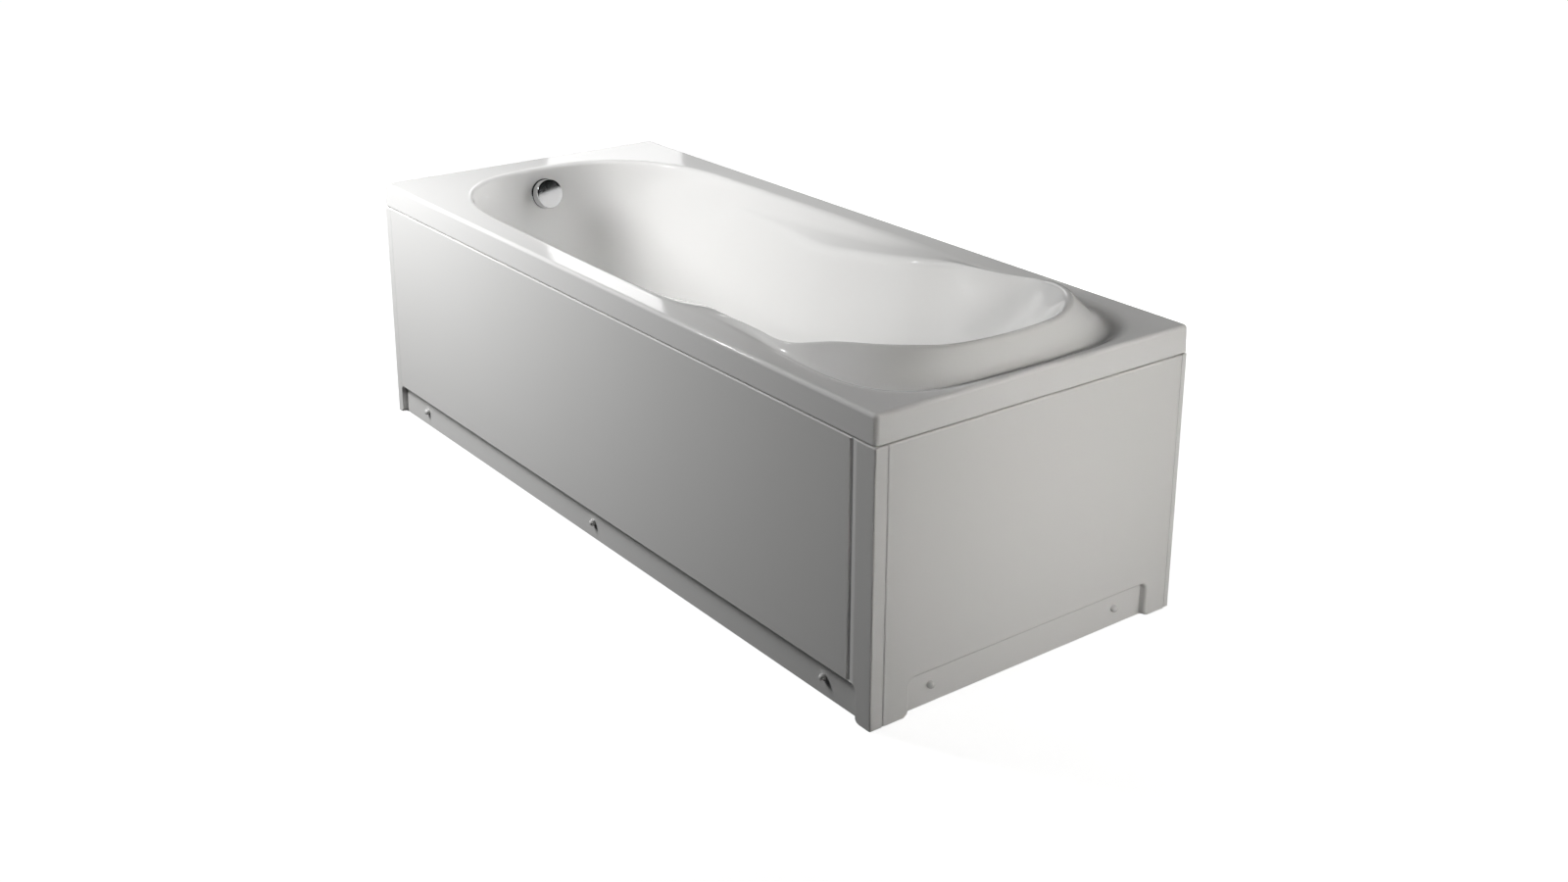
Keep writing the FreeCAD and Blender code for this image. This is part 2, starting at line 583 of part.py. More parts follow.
rec = rec.makeFillet(10.0, rec_e)
endp = endp.cut(rec)
ce = [e for e in endp.Edges if abs(e.BoundBox.ZMax - e.BoundBox.ZMin) > 300
      and abs(e.BoundBox.XMin - xo) < 0.01
      and (abs(e.BoundBox.YMin - END_Y[0]) < 0.01 or abs(e.BoundBox.YMin - END_Y[1]) < 0.01)]
endp = endp.makeFillet(2.0, ce)
for y in END_KNOB_Y:
    endp = endp.cut(cyl((xo + 5, y, KNOB_Z), (-1, 0, 0), SCREW_R + SCREW_CLEAR, 40.0))
save("end_panel", endp)

# corner post behind the end panel's wall-side edge
post = fuse([box(xo - 4.0, xo - 1.5, END_Y[1] + 1.0, HY - 1.5, PANEL_FOOT, PANEL_TOP),
             box(xo - 35.0, xo - 1.5, HY - 6.5, HY - 4.0, PANEL_FOOT, PANEL_TOP),
             box(xo - 35.0, xo - 8.0, HY - 8.6, HY - 6.4, PANEL_TOP - 30.0, z_rim)])
save("rear_corner_post", post)

# ---------------------------------------------------------------------------
# round-headed panel screws; each turns in its panel and enters the rail
# ---------------------------------------------------------------------------


def panel_screw(p, d):
    # p: point on the recessed face, d: outwards
    d = V(*d)
    p = V(*p)
    w = V(0, 0, 1)
    prof = [p + d * 0.3, p + d * 0.3 + w * 5.0, p + d * 1.2 + w * 6.5, p + d * 4.5 + w * 6.5,
            p + d * 7.0 + w * 5.6, p + d * 8.8 + w * 3.6, p + d * 9.6 + w * 1.6, p + d * 9.8, p + d * 0.3]
    head = Part.Face(Part.makePolygon(prof)).revolve(p, d, 360)
    shank = Part.makeCylinder(SCREW_R, 16.3, p + d * 0.3, d * -1.0)
    return fuse([head, shank])


for nm, x in zip(("left", "middle", "right"), FRONT_KNOB_X):
    save("front_screw_" + nm, panel_screw((x, yo + RECESS_D, KNOB_Z), (0, -1, 0)))
for nm, y in zip(("front", "rear"), END_KNOB_Y):
    save("end_screw_" + nm, panel_screw((xo - RECESS_D, y, KNOB_Z), (1, 0, 0)))

# ---------------------------------------------------------------------------
# wall brackets, hooked behind the skirt on the wall side
# ---------------------------------------------------------------------------
BR_HOLE_R = 3.0
BR_SPACING = 40.0
BR_Z = 455.0
brk = []
for x in (-500.0, 500.0):
    b = fuse([box(x - 35, x + 35, HY - 2.5, HY - 0.5, 435.0, z_sk - 3.0),
              box(x - 35, x + 35, HY - 9.5, HY - 0.5, z_sk - 5.0, z_sk - 3.0),
              box(x - 35, x + 35, HY - 9.5, HY - 7.5, z_sk - 5.0, z_rim)])
    for s in (-1, 1):
        b = b.cut(cyl((x + s * BR_SPACING / 2, HY - 20, BR_Z), (0, 1, 0), BR_HOLE_R, 30.0))
    brk.append(b)
save("wall_brackets", brk)

# ---------------------------------------------------------------------------
# overflow with turning knob, on the waste-end wall
# ---------------------------------------------------------------------------
hub_spokes = []
tube_o = ocyl(-24.0, 3.0, 24.0).cut(ocyl(-25.0, 10.0, 21.0))
flange = ocyl(1.6, 5.5, 35.0).cut(ocyl(-1.0, 6.0, 21.0))   # clears the curve of the wall
flange_edges = [e for e in flange.Edges if e.Length > 2 * math.pi * 34 and
                abs((e.BoundBox.Center - at_over(5.5)).Length) < 0.6]
flange = flange.makeFillet(2.0, flange_edges)
hub = ocyl(-20.0, 4.0, 8.0)
z_up = V(-over_n.z, 0, over_n.x)
spokes = []
for a in (90.0, 210.0, 330.0):
    d = V(0, 1, 0) * math.cos(math.radians(a)) + z_up * math.sin(math.radians(a))
    w = over_n.cross(d)
    q = at_over(-12.0)
    c = [q + d * 6.0 + w * 1.5, q + d * 22.0 + w * 1.5, q + d * 22.0 - w * 1.5, q + d * 6.0 - w * 1.5,
         q + d * 6.0 + w * 1.5]
    spokes.append(Part.Face(Part.makePolygon(c)).extrude(over_n * 8.0))
oring = fuse([tube_o, flange, hub] + spokes).cut(ocyl(-30.0, 10.0, 4.06))
save("overflow_ring", oring)

save("overflow_gasket", ocyl(-9.5, -5.6, 36.0).cut(ocyl(-11.0, 0.0, 25.0)))

# housing behind the wall with a downward spigot
house = ocyl(-48.0, -9.5, 37.0).cut(ocyl(-45.0, -9.0, 34.0))
front_lid = ocyl(-12.5, -9.5, 36.0).cut(ocyl(-13.0, -9.0, 24.05))
spig_top = over_o.z - 30.0
spigot = cyl((HOSE_X, 0, 412.0), (0, 0, 1), 16.0, spig_top - 412.0)
collar = cyl((HOSE_X, 0, 432.0), (0, 0, 1), 20.0, spig_top - 432.0)
elbow = fuse([house, front_lid, spigot, collar])
elbow = elbow.cut(cyl((HOSE_X, 0, 400.0), (0, 0, 1), 13.5, over_o.z - 20.0 - 400.0))
elbow = elbow.cut(ocyl(-45.0, -12.5, 34.0))
boss = cyl((-803.0, 26.0, 430.0), (0, 0, 1), 5.5, 30.0)
elbow = fuse([elbow, boss.cut(ocyl(-45.0, -12.5, 34.0))])
save("overflow_elbow", elbow)

# spindle and cam, turned by the knob
cam = fuse([ocyl(-28.0, 16.0, 4.0), ocyl(-34.0, -28.0, 13.0),
            Part.makeCylinder(3.0, 5.0, at_over(-39.0, 8.0), over_n)])
save("knob_spindle", cam)

# knob: a hollow round cap with a flat face, carried on a hub and a web
knob = ocyl(KNOB_BACK, KNOB_FACE, KNOB_R)
knob = knob.makeFillet(KNOB_EDGE, [e for e in knob.Edges if e.Length > 200 and
                                   (e.BoundBox.Center - at_over(KNOB_FACE)).Length < 1.0])
knob = knob.cut(ocyl(KNOB_BACK - 1.0, KNOB_FACE - 3.5, KNOB_R - 3.5))
khub = ocyl(10.0, KNOB_FACE - 3.0, 8.0).cut(ocyl(5.0, 16.0, 4.0))
z_dir = V(-over_n.z, 0, over_n.x)
web_q = at_over(12.0)
web = [web_q + z_dir * 31.0 + V(0, 1.2, 0), web_q + z_dir * 31.0 - V(0, 1.2, 0), web_q - z_dir * 31.0 - V(0, 1.2, 0),
       web_q - z_dir * 31.0 + V(0, 1.2, 0), web_q + z_dir * 31.0 + V(0, 1.2, 0)]
web = Part.Face(Part.makePolygon(web)).extrude(over_n * (KNOB_FACE - 3.0 - 12.0)).cut(ocyl(5.0, 16.0, 4.0))
knob = fuse([knob, khub, web])
save("overflow_knob", knob)

# hose from the overflow down to the waste, straight runs and one large bend
HOSE_BEND = 112.0


def swept(points_lines, r_out, r_in, start, sdir):
    path = Part.Wire(points_lines)
    outp = Part.Wire([Part.Circle(V(*start), V(*sdir), r_out).toShape()])
    s = path.makePipeShell([outp], True, False)
    if r_in:
        inp = Part.Wire([Part.Circle(V(*start), V(*sdir), r_in).toShape()])
        s = s.cut(path.makePipeShell([inp], True, False))
    return s


def bend_path(x, y, z_top, z_low, x_end, rad):
    a = V(x, y, z_top)
    b = V(x, y, z_low + rad)
    k = rad * math.sqrt(0.5)
    m = V(x + rad - k, y, z_low + rad - k)
    c = V(x + rad, y, z_low)
    d = V(x_end, y, z_low)
    return [Part.LineSegment(a, b).toShape(), Part.Arc(b, m, c).toShape(), Part.LineSegment(c, d).toShape()]


hose = swept(bend_path(HOSE_X, 0, 432.0, HOSE_Z, WASTE_X - 52.0, HOSE_BEND), HOSE_R, HOSE_BORE,
             (HOSE_X, 0, 432.0), (0, 0, -1))
save("overflow_hose", hose)

CAB_Z = 100.0
CAB_R = 140.0
cable = swept(bend_path(-803.0, 26.0, 422.0, CAB_Z, WASTE_X - 44.0, CAB_R), 3.0, 0.0,
              (-803.0, 26.0, 422.0), (0, 0, -1))
save("pull_cable", cable)
ferr = [cyl((-803.0, 26.0, 422.0), (0, 0, 1), 4.5, 8.0),
        cyl((WASTE_X - 44.0, 26.0, CAB_Z), (1, 0, 0), 4.5, 10.0)]
save("cable_ferrules", ferr)

# ---------------------------------------------------------------------------
# waste: flange in the floor, body under it, trap and outlet pipe
# ---------------------------------------------------------------------------
WX = WASTE_X
zf = FLOOR_Z + 0.3
wf = fuse([ring((WX, 0, zf), (0, 0, 1), 35.0, 23.0, 3.0),
           ring((WX, 0, 92.0), (0, 0, 1), 25.5, 23.0, zf + 1.0 - 92.0),
           ring((WX, 0, 100.0), (0, 0, 1), 8.0, 4.06, 12.0)])
arms = []
for a in (0.0, 120.0, 240.0):
    b = Part.makeBox(18.0, 3.0, 8.0, V(6.5, -1.5, 102.0))
    b.rotate(V(0, 0, 0), V(0, 0, 1), a)
    b.translate(V(WX, 0, 0))
    arms.append(b)
wf = fuse([wf] + arms)
save("waste_flange", wf)
save("waste_gasket", ring((WX, 0, FLOOR_Z - SHELL_T - 4.6), (0, 0, 1), 36.0, 26.0, 4.0))
zb = FLOOR_Z - SHELL_T - 4.6
wb = fuse([cyl((WX, 0, 72.0), (0, 0, 1), 38.0, zb - 72.0),
           cyl((WX - 56.0, 0, HOSE_Z), (1, 0, 0), 16.0, 40.0),
           cyl((WX - 52.0, 0, HOSE_Z), (1, 0, 0), 20.5, 20.0),
           cyl((WX, 0, 46.0), (0, 0, 1), 20.0, 30.0),
           cyl((WX - 34.0, 26.0, CAB_Z), (1, 0, 0), 6.0, 14.0)])
wb = wb.cut(cyl((WX, 0, 76.0), (0, 0, 1), 25.6, 60.0))
wb = wb.cut(cyl((WX, 0, 40.0), (0, 0, 1), 17.0, 60.0))
wb = wb.cut(cyl((WX - 60.0, 0, HOSE_Z), (1, 0, 0), 13.5, 45.0))
save("waste_body", wb)

plug = [V(WX, 0, zf + 3.4), V(WX + 30.0, 0, zf + 3.4), V(WX + 31.5, 0, zf + 4.6), V(WX + 30.5, 0, zf + 6.2),
        V(WX + 20.0, 0, zf + 8.2), V(WX, 0, zf + 9.2), V(WX, 0, zf + 3.4)]
plug = Part.Face(Part.makePolygon(plug)).revolve(V(WX, 0, 0), V(0, 0, 1), 360)
save("waste_plug", plug)
stem = fuse([cyl((WX, 0, 84.0), (0, 0, 1), 4.0, zf + 3.4 - 84.0), cyl((WX, 0, 81.0), (0, 0, 1), 6.0, 4.0)])
save("plug_stem", stem)

tb = fuse([cyl((WX, 0, 17.0), (0, 0, 1), 37.0, 39.0), cyl((WX, 0, 56.0), (0, 0, 1), 27.0, 8.0),
           cyl((WX, 0, 11.0), (0, 0, 1), 26.0, 6.0), cyl((WX, 34.0, OUTLET_Z), (0, 1, 0), 24.0 - 3.0, 20.0)])
tb = tb.cut(cyl((WX, 0, 20.0), (0, 0, 1), 34.0, 33.0))
tb = tb.cut(cyl((WX, 0, 20.0), (0, 0, 1), 20.3, 60.0))
tb = tb.cut(cyl((WX, 20.0, OUTLET_Z), (0, 1, 0), 9.0, 60.0))
save("trap_body", tb)
save("trap_nut", ring((WX, 0, 58.0), (0, 0, 1), 32.0, 27.2, 12.0))
save("trap_outlet", ring((WX, 54.0, OUTLET_Z), (0, 1, 0), OUTLET_R, OUTLET_R - 2.0, OUTLET_END_Y - 54.0))
nut = ring((WX, 40.0, OUTLET_Z), (0, 1, 0), 26.0, 21.2, 18.0)
save("outlet_nut", nut)
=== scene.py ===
import math

import bmesh
import bpy
import numpy as np
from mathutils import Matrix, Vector


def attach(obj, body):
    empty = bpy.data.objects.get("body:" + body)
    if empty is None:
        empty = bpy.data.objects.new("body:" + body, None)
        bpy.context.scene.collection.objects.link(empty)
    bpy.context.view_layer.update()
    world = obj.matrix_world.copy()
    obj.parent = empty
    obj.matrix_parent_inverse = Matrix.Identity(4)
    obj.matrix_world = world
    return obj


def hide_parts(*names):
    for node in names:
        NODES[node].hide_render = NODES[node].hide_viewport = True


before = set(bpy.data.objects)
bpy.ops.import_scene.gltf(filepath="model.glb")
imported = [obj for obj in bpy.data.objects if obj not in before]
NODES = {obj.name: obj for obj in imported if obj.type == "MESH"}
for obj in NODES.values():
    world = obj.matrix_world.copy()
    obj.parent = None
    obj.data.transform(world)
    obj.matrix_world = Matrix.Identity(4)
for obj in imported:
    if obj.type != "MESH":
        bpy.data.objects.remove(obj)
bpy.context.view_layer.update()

MM = 0.001
SCENE = bpy.context.scene

# ---------------------------------------------------------------------------
# sizes, in millimetres, the same as the solid model's
# ---------------------------------------------------------------------------
HX, HY = 850.0, 350.0
RIM_Z, SKIRT_H, SKIRT_DRAFT, RIM_T = 540.0, 50.0, 1.5, 8.0
SKIRT_T, SHELL_T, SKIRT_R = 5.0, 5.0, 9.0
TOP_R = 7.0
WASTE_X, FLOOR_Z, FLOOR_FALL = -560.0, 122.0, 0.008
SET_RIM, SET_LEDGE, SET_ROLL, SET_FLOOR = 10.0, 8.0, 13.0, 75.0
PANEL_TOP, PANEL_FOOT = 487.5, 2.0
RECESS_TOP, RECESS_D = 67.0, 12.0
KNOB_Z = 36.0
OVER_O = np.array([-758.545246, 0.0, 480.0])
OVER_N = np.array([0.98225969, 0.0, 0.18752571])
OVER_UP = np.array([-0.18752571, 0.0, 0.98225969])


# ---------------------------------------------------------------------------
# small mesh helpers
# ---------------------------------------------------------------------------
def obj_of(name, verts, faces, mats=()):
    me = bpy.data.meshes.new(name)
    me.from_pydata([tuple(float(c) * MM for c in v) for v in verts], [], faces)
    me.validate()
    ob = bpy.data.objects.new(name, me)
    SCENE.collection.objects.link(ob)
    for m in mats:
        me.materials.append(m)
    return ob


def outward(ob):
    bm = bmesh.new()
    bm.from_mesh(ob.data)
    bmesh.ops.recalc_face_normals(bm, faces=bm.faces)
    bm.to_mesh(ob.data)
    bm.free()


def baked(ob):
    """the object's mesh with its modifiers applied"""
    bpy.context.view_layer.update()
    dg = bpy.context.evaluated_depsgraph_get()
    me = bpy.data.meshes.new_from_object(ob.evaluated_get(dg))
    old = ob.data
    ob.modifiers.clear()
    ob.data = me
    if old.users == 0:
        bpy.data.meshes.remove(old)
    return ob


def smooth(ob, angle=35.0, weighted=True):
    me = ob.data
    me.shade_smooth()
    me.set_sharp_from_angle(angle=math.radians(angle))
    if weighted:
        m = ob.modifiers.new("normals", "WEIGHTED_NORMAL")
        m.mode = "FACE_AREA"
        m.weight = 50
        m.keep_sharp = True
    return ob


def drop(*obs):
    for o in obs:
        me = o.data
        bpy.data.objects.remove(o)
        if me.users == 0:
            bpy.data.meshes.remove(me)


def cylinder(name, p0, p1, r, n=72, mats=(), mat_index=0):
    p0, p1 = np.array(p0, float), np.array(p1, float)
    d = (p1 - p0) / np.linalg.norm(p1 - p0)
    a = np.array([0.0, 1.0, 0.0]) if abs(d[1]) < 0.9 else np.array([1.0, 0.0, 0.0])
    u = np.cross(d, a)
    u /= np.linalg.norm(u)
    w = np.cross(d, u)
    vs = []
    for p in (p0, p1):
        for k in range(n):
            t = 2 * math.pi * k / n
            vs.append(p + u * r * math.cos(t) + w * r * math.sin(t))
    fs = [(k, (k + 1) % n, n + (k + 1) % n, n + k) for k in range(n)]
    fs += [tuple(range(n - 1, -1, -1)), tuple(range(n, 2 * n))]
    ob = obj_of(name, vs, fs, mats)
    for poly in ob.data.polygons:
        poly.material_index = mat_index
    outward(ob)
    return ob


def cut(ob, cutters):
    for c in cutters:
        m = ob.modifiers.new("cut", "BOOLEAN")
        m.operation = "DIFFERENCE"
        m.solver = "EXACT"
        m.object = c
    baked(ob)
    drop(*cutters)
    return ob


def lathe(name, profile, origin, axis, n=64, mats=(), closed=False):
    """profile: (radius, height along the axis) pairs, from the foot to the top"""
    o = np.array(origin, float)
    d = np.array(axis, float)
    d /= np.linalg.norm(d)
    a = np.array([0.0, 1.0, 0.0]) if abs(d[1]) < 0.9 else np.array([1.0, 0.0, 0.0])
    u = np.cross(d, a)
    u /= np.linalg.norm(u)
    w = np.cross(d, u)
    vs, rings = [], []
    for r, h in profile:
        if r < 1e-6:
            rings.append([len(vs)] * n)
            vs.append(o + d * h)
        else:
            rings.append(list(range(len(vs), len(vs) + n)))
            for k in range(n):
                t = 2 * math.pi * k / n
                vs.append(o + d * h + (u * math.cos(t) + w * math.sin(t)) * r)
    fs = []
    pairs = list(zip(rings, rings[1:])) + ([(rings[-1], rings[0])] if closed else [])
    for r0, r1 in pairs:
        for k in range(n):
            q = [r0[k], r0[(k + 1) % n], r1[(k + 1) % n], r1[k]]
            q = [v for i, v in enumerate(q) if v not in q[:i]]
            if len(q) > 2:
                fs.append(tuple(q))
    if not closed:
        if profile[0][0] > 1e-6:
            fs.append(tuple(reversed(rings[0])))
        if profile[-1][0] > 1e-6:
            fs.append(tuple(rings[-1]))
    ob = obj_of(name, vs, fs, mats)
    outward(ob)
    return ob


def spans(*rows):
    """sorted values made of (from, to, step) runs and single values"""
    out = []
    for r in rows:
        if isinstance(r, (int, float)):
            out.append(float(r))
            continue
        a, b, step = r
        n = max(1, int(math.ceil((b - a) / step - 1e-9)))
        out += [a + (b - a) * k / n for k in range(n + 1)]
    out.sort()
    keep = [out[0]]
    for v in out[1:]:
        if v - keep[-1] > 0.15:
            keep.append(v)
    return keep


# ---------------------------------------------------------------------------
# materials: every colour, grain and roughness comes from procedural nodes
# ---------------------------------------------------------------------------
class Mat:
    def __init__(self, name, colour, rough, metal=0.0, ior=1.49, **fixed):
        self.m = bpy.data.materials.new(name)
        self.m.use_nodes = True
        self.t = self.m.node_tree
        self.n = self.t.nodes
        self.b = self.n["Principled BSDF"]
        self.b.inputs["Base Color"].default_value = (*colour, 1.0)
        self.b.inputs["Roughness"].default_value = rough
        self.b.inputs["Metallic"].default_value = metal
        self.b.inputs["IOR"].default_value = ior
        for k, v in fixed.items():
            self.b.inputs[k.replace("_", " ")].default_value = v
        self.co = self.n.new("ShaderNodeTexCoord").outputs["Object"]
        self.bump_in = None

    def link(self, a, b):
        self.t.links.new(a, b)

    def scaled(self, sx, sy, sz):
        mp = self.n.new("ShaderNodeMapping")
        mp.inputs["Scale"].default_value = (sx, sy, sz)
        self.link(self.co, mp.inputs["Vector"])
        return mp.outputs["Vector"]

    def noise(self, scale, detail=2.0, rough=0.5, at=None, distort=0.0):
        t = self.n.new("ShaderNodeTexNoise")
        t.inputs["Scale"].default_value = scale
        t.inputs["Detail"].default_value = detail
        t.inputs["Roughness"].default_value = rough
        t.inputs["Distortion"].default_value = distort
        self.link(at or self.co, t.inputs["Vector"])
        return t.outputs["Fac"]

    def cells(self, scale, at=None, feature="F1", rand=1.0, out="Distance"):
        t = self.n.new("ShaderNodeTexVoronoi")
        t.feature = feature
        t.inputs["Scale"].default_value = scale
        t.inputs["Randomness"].default_value = rand
        self.link(at or self.co, t.inputs["Vector"])
        return t.outputs[out]

    def ramp(self, fac, stops, smoothly=False):
        r = self.n.new("ShaderNodeValToRGB")
        e = r.color_ramp.elements
        while len(e) < len(stops):
            e.new(0.5)
        for s, (p, c) in zip(e, stops):
            s.position = p
            s.color = (*c, 1.0) if isinstance(c, tuple) else (c, c, c, 1.0)
        if smoothly:
            r.color_ramp.interpolation = "EASE"
        self.link(fac, r.inputs["Fac"])
        return r.outputs["Color"]

    def span(self, fac, lo, hi, a=0.3, b=0.7):
        r = self.n.new("ShaderNodeMapRange")
        r.inputs["From Min"].default_value = a
        r.inputs["From Max"].default_value = b
        r.inputs["To Min"].default_value = lo
        r.inputs["To Max"].default_value = hi
        self.link(fac, r.inputs["Value"])
        return r.outputs["Result"]

    def mix(self, fac, a, b, how="MIX"):
        x = self.n.new("ShaderNodeMix")
        x.data_type = "RGBA"
        x.blend_type = how
        for sock, v in ((x.inputs["Factor"], fac), (x.inputs["A"], a), (x.inputs["B"], b)):
            if isinstance(v, (int, float)):
                sock.default_value = v
            elif isinstance(v, tuple):
                sock.default_value = (*v, 1.0)
            else:
                self.link(v, sock)
        # the colour sockets of the mix node are the third of each kind
        return x.outputs["Result"]

    def colour(self, out):
        self.link(out, self.b.inputs["Base Color"])

    def roughness(self, out):
        self.link(out, self.b.inputs["Roughness"])

    def bump(self, height, strength, distance):
        n = self.n.new("ShaderNodeBump")
        n.inputs["Strength"].default_value = strength
        n.inputs["Distance"].default_value = distance
        self.link(height, n.inputs["Height"])
        if self.bump_in is not None:
            self.link(self.bump_in, n.inputs["Normal"])
        self.bump_in = n.outputs["Normal"]
        self.link(self.bump_in, self.b.inputs["Normal"])


def mix_socket(x, name):
    """the colour version of the mix node's socket"""
    return [s for s in x.inputs if s.name == name and s.type == "RGBA"][0]


def colour_mix(mat, fac, a, b, how="MIX"):
    x = mat.n.new("ShaderNodeMix")
    x.data_type = "RGBA"
    x.blend_type = how
    f = [s for s in x.inputs if s.name == "Factor" and s.type == "VALUE"][0]
    if isinstance(fac, (int, float)):
        f.default_value = fac
    else:
        mat.link(fac, f)
    for name, v in (("A", a), ("B", b)):
        s = mix_socket(x, name)
        if isinstance(v, tuple):
            s.default_value = (*v, 1.0)
        else:
            mat.link(v, s)
    return [s for s in x.outputs if s.type == "RGBA"][0]


def make_acrylic():
    m = Mat("bath_acrylic", (0.86, 0.855, 0.845), 0.07, ior=1.49)
    m.colour(m.ramp(m.noise(2.2, 2.0), [(0.30, (0.865, 0.862, 0.852)), (0.70, (0.880, 0.878, 0.870))]))
    # polish haze and the finest wiping marks
    haze = m.noise(7.0, 3.0)
    m.roughness(m.span(haze, 0.045, 0.085))
    m.bump(m.noise(9.0, 1.0), 0.10, 0.0015)          # slow waviness of the formed sheet
    m.bump(m.noise(260.0, 2.0), 0.015, 0.0002)
    return m.m


def make_laminate():
    m = Mat("bath_laminate", (0.62, 0.62, 0.56), 0.55, ior=1.5)
    strands = m.cells(150.0, at=m.scaled(1.0, 1.0, 0.25), feature="DISTANCE_TO_EDGE")
    cross = m.cells(150.0, at=m.scaled(0.25, 1.0, 1.0), feature="DISTANCE_TO_EDGE")
    a = m.ramp(strands, [(0.0, (0.50, 0.50, 0.43)), (0.12, (0.66, 0.655, 0.59))])
    b = m.ramp(cross, [(0.0, (0.54, 0.54, 0.48)), (0.10, (0.70, 0.695, 0.64))])
    c = colour_mix(m, 0.5, a, b)
    d = m.ramp(m.noise(6.0, 4.0), [(0.35, (0.78, 0.76, 0.66)), (0.65, (1.0, 1.0, 1.0))])
    m.colour(colour_mix(m, 1.0, c, d, "MULTIPLY"))
    m.roughness(m.span(m.noise(40.0, 3.0), 0.38, 0.66))
    m.bump(strands, 0.5, 0.0008)
    m.bump(m.noise(55.0, 5.0, 0.7), 0.5, 0.0022)
    return m.m


def make_panel():
    m = Mat("panel_acrylic", (0.82, 0.82, 0.81), 0.31, ior=1.49)
    m.colour(m.ramp(m.noise(1.7, 2.0), [(0.30, (0.835, 0.833, 0.820)), (0.70, (0.852, 0.850, 0.840))]))
    m.roughness(m.span(m.noise(14.0, 3.0), 0.285, 0.335))
    m.bump(m.noise(3.0, 1.0), 0.03, 0.0020)
    return m.m


def make_chrome(name="chrome_plate", lo=0.03, hi=0.10):
    m = Mat(name, (0.80, 0.80, 0.815), 0.05, metal=1.0)
    m.colour(m.ramp(m.noise(30.0, 3.0), [(0.30, (0.78, 0.785, 0.80)), (0.70, (0.83, 0.83, 0.84))]))
    m.roughness(m.span(m.noise(220.0, 4.0, 0.6), lo, hi))
    m.bump(m.noise(700.0, 2.0), 0.01, 0.0001)
    return m.m


def make_zinc():
    m = Mat("zinc_plate", (0.62, 0.64, 0.66), 0.36, metal=0.45)
    tint = m.ramp(m.noise(45.0, 4.0), [(0.30, (0.60, 0.61, 0.62)), (0.55, (0.68, 0.69, 0.70)), (0.80, (0.66, 0.65, 0.58))])
    m.colour(tint)
    m.roughness(m.span(m.noise(400.0, 4.0, 0.7), 0.30, 0.46))
    m.bump(m.noise(900.0, 3.0), 0.12, 0.0001)
    return m.m


def make_galvanised():
    m = Mat("galvanised_steel", (0.58, 0.60, 0.61), 0.40, metal=0.4)
    cell = m.cells(95.0, out="Color")
    grey = m.ramp(cell, [(0.15, (0.47, 0.49, 0.51)), (0.55, (0.60, 0.615, 0.63)), (0.90, (0.70, 0.71, 0.72))])
    dull = m.ramp(m.noise(12.0, 4.0), [(0.35, (0.80, 0.80, 0.80)), (0.70, (1.0, 1.0, 1.0))])
    m.colour(colour_mix(m, 1.0, grey, dull, "MULTIPLY"))
    m.roughness(m.span(m.noise(60.0, 4.0), 0.30, 0.52))
    m.bump(m.cells(95.0, feature="DISTANCE_TO_EDGE"), 0.08, 0.0002)
    return m.m


def make_board():
    m = Mat("chipboard", (0.62, 0.50, 0.34), 0.75)
    chip = m.cells(210.0, at=m.scaled(1.0, 0.45, 1.6), out="Color")
    a = m.ramp(chip, [(0.10, (0.42, 0.30, 0.17)), (0.45, (0.60, 0.47, 0.30)), (0.90, (0.74, 0.62, 0.44))])
    b = m.ramp(m.noise(420.0, 4.0, 0.7), [(0.35, (0.72, 0.68, 0.62)), (0.65, (1.0, 1.0, 1.0))])
    m.colour(colour_mix(m, 0.8, a, b, "MULTIPLY"))
    m.roughness(m.span(m.noise(90.0, 3.0), 0.62, 0.85))
    m.bump(m.noise(300.0, 4.0, 0.7), 0.35, 0.0004)
    return m.m


def make_plastic(name, dark, light, rough, grain=1100.0, grain_strength=0.15):
    m = Mat(name, light, rough)
    m.colour(m.ramp(m.noise(18.0, 3.0), [(0.30, dark), (0.70, light)]))
    m.roughness(m.span(m.noise(35.0, 3.0), rough * 0.82, rough * 1.18))
    m.bump(m.noise(grain, 3.0, 0.6), grain_strength, 0.00015)
    return m.m


def make_rubber():
    m = Mat("rubber_seal", (0.035, 0.035, 0.036), 0.72)
    m.colour(m.ramp(m.noise(60.0, 4.0), [(0.30, (0.026, 0.026, 0.027)), (0.70, (0.050, 0.049, 0.048))]))
    m.roughness(m.span(m.noise(80.0, 3.0), 0.60, 0.85))
    m.bump(m.noise(700.0, 3.0), 0.2, 0.0002)
    return m.m


def make_floor():
    m = Mat("studio_floor", (0.4, 0.4, 0.4), 0.75, Emission_Color=(1.0, 1.0, 1.0, 1.0), Emission_Strength=0.9)
    m.colour(m.ramp(m.noise(0.7, 3.0), [(0.30, (0.39, 0.39, 0.388)), (0.70, (0.41, 0.41, 0.408))]))
    m.roughness(m.span(m.noise(3.0, 3.0), 0.70, 0.85))
    m.b.inputs["Specular IOR Level"].default_value = 0.15
    # the floor glows, a painted light: dimmer round the bath and brighter further out
    d = m.n.new("ShaderNodeVectorMath")
    d.operation = "LENGTH"
    m.link(m.co, d.inputs[0])
    m.link(m.span(d.outputs["Value"], 0.86, 1.02, 1.2, 3.6), m.b.inputs["Emission Strength"])
    return m.m


def make_backdrop():
    m = Mat("studio_wall", (0.2, 0.2, 0.2), 0.9, Emission_Color=(1.0, 1.0, 1.0, 1.0), Emission_Strength=1.0)
    m.colour(m.ramp(m.noise(0.5, 3.0), [(0.30, (0.195, 0.195, 0.194)), (0.70, (0.205, 0.205, 0.204))]))
    m.b.inputs["Specular IOR Level"].default_value = 0.1
    return m.m


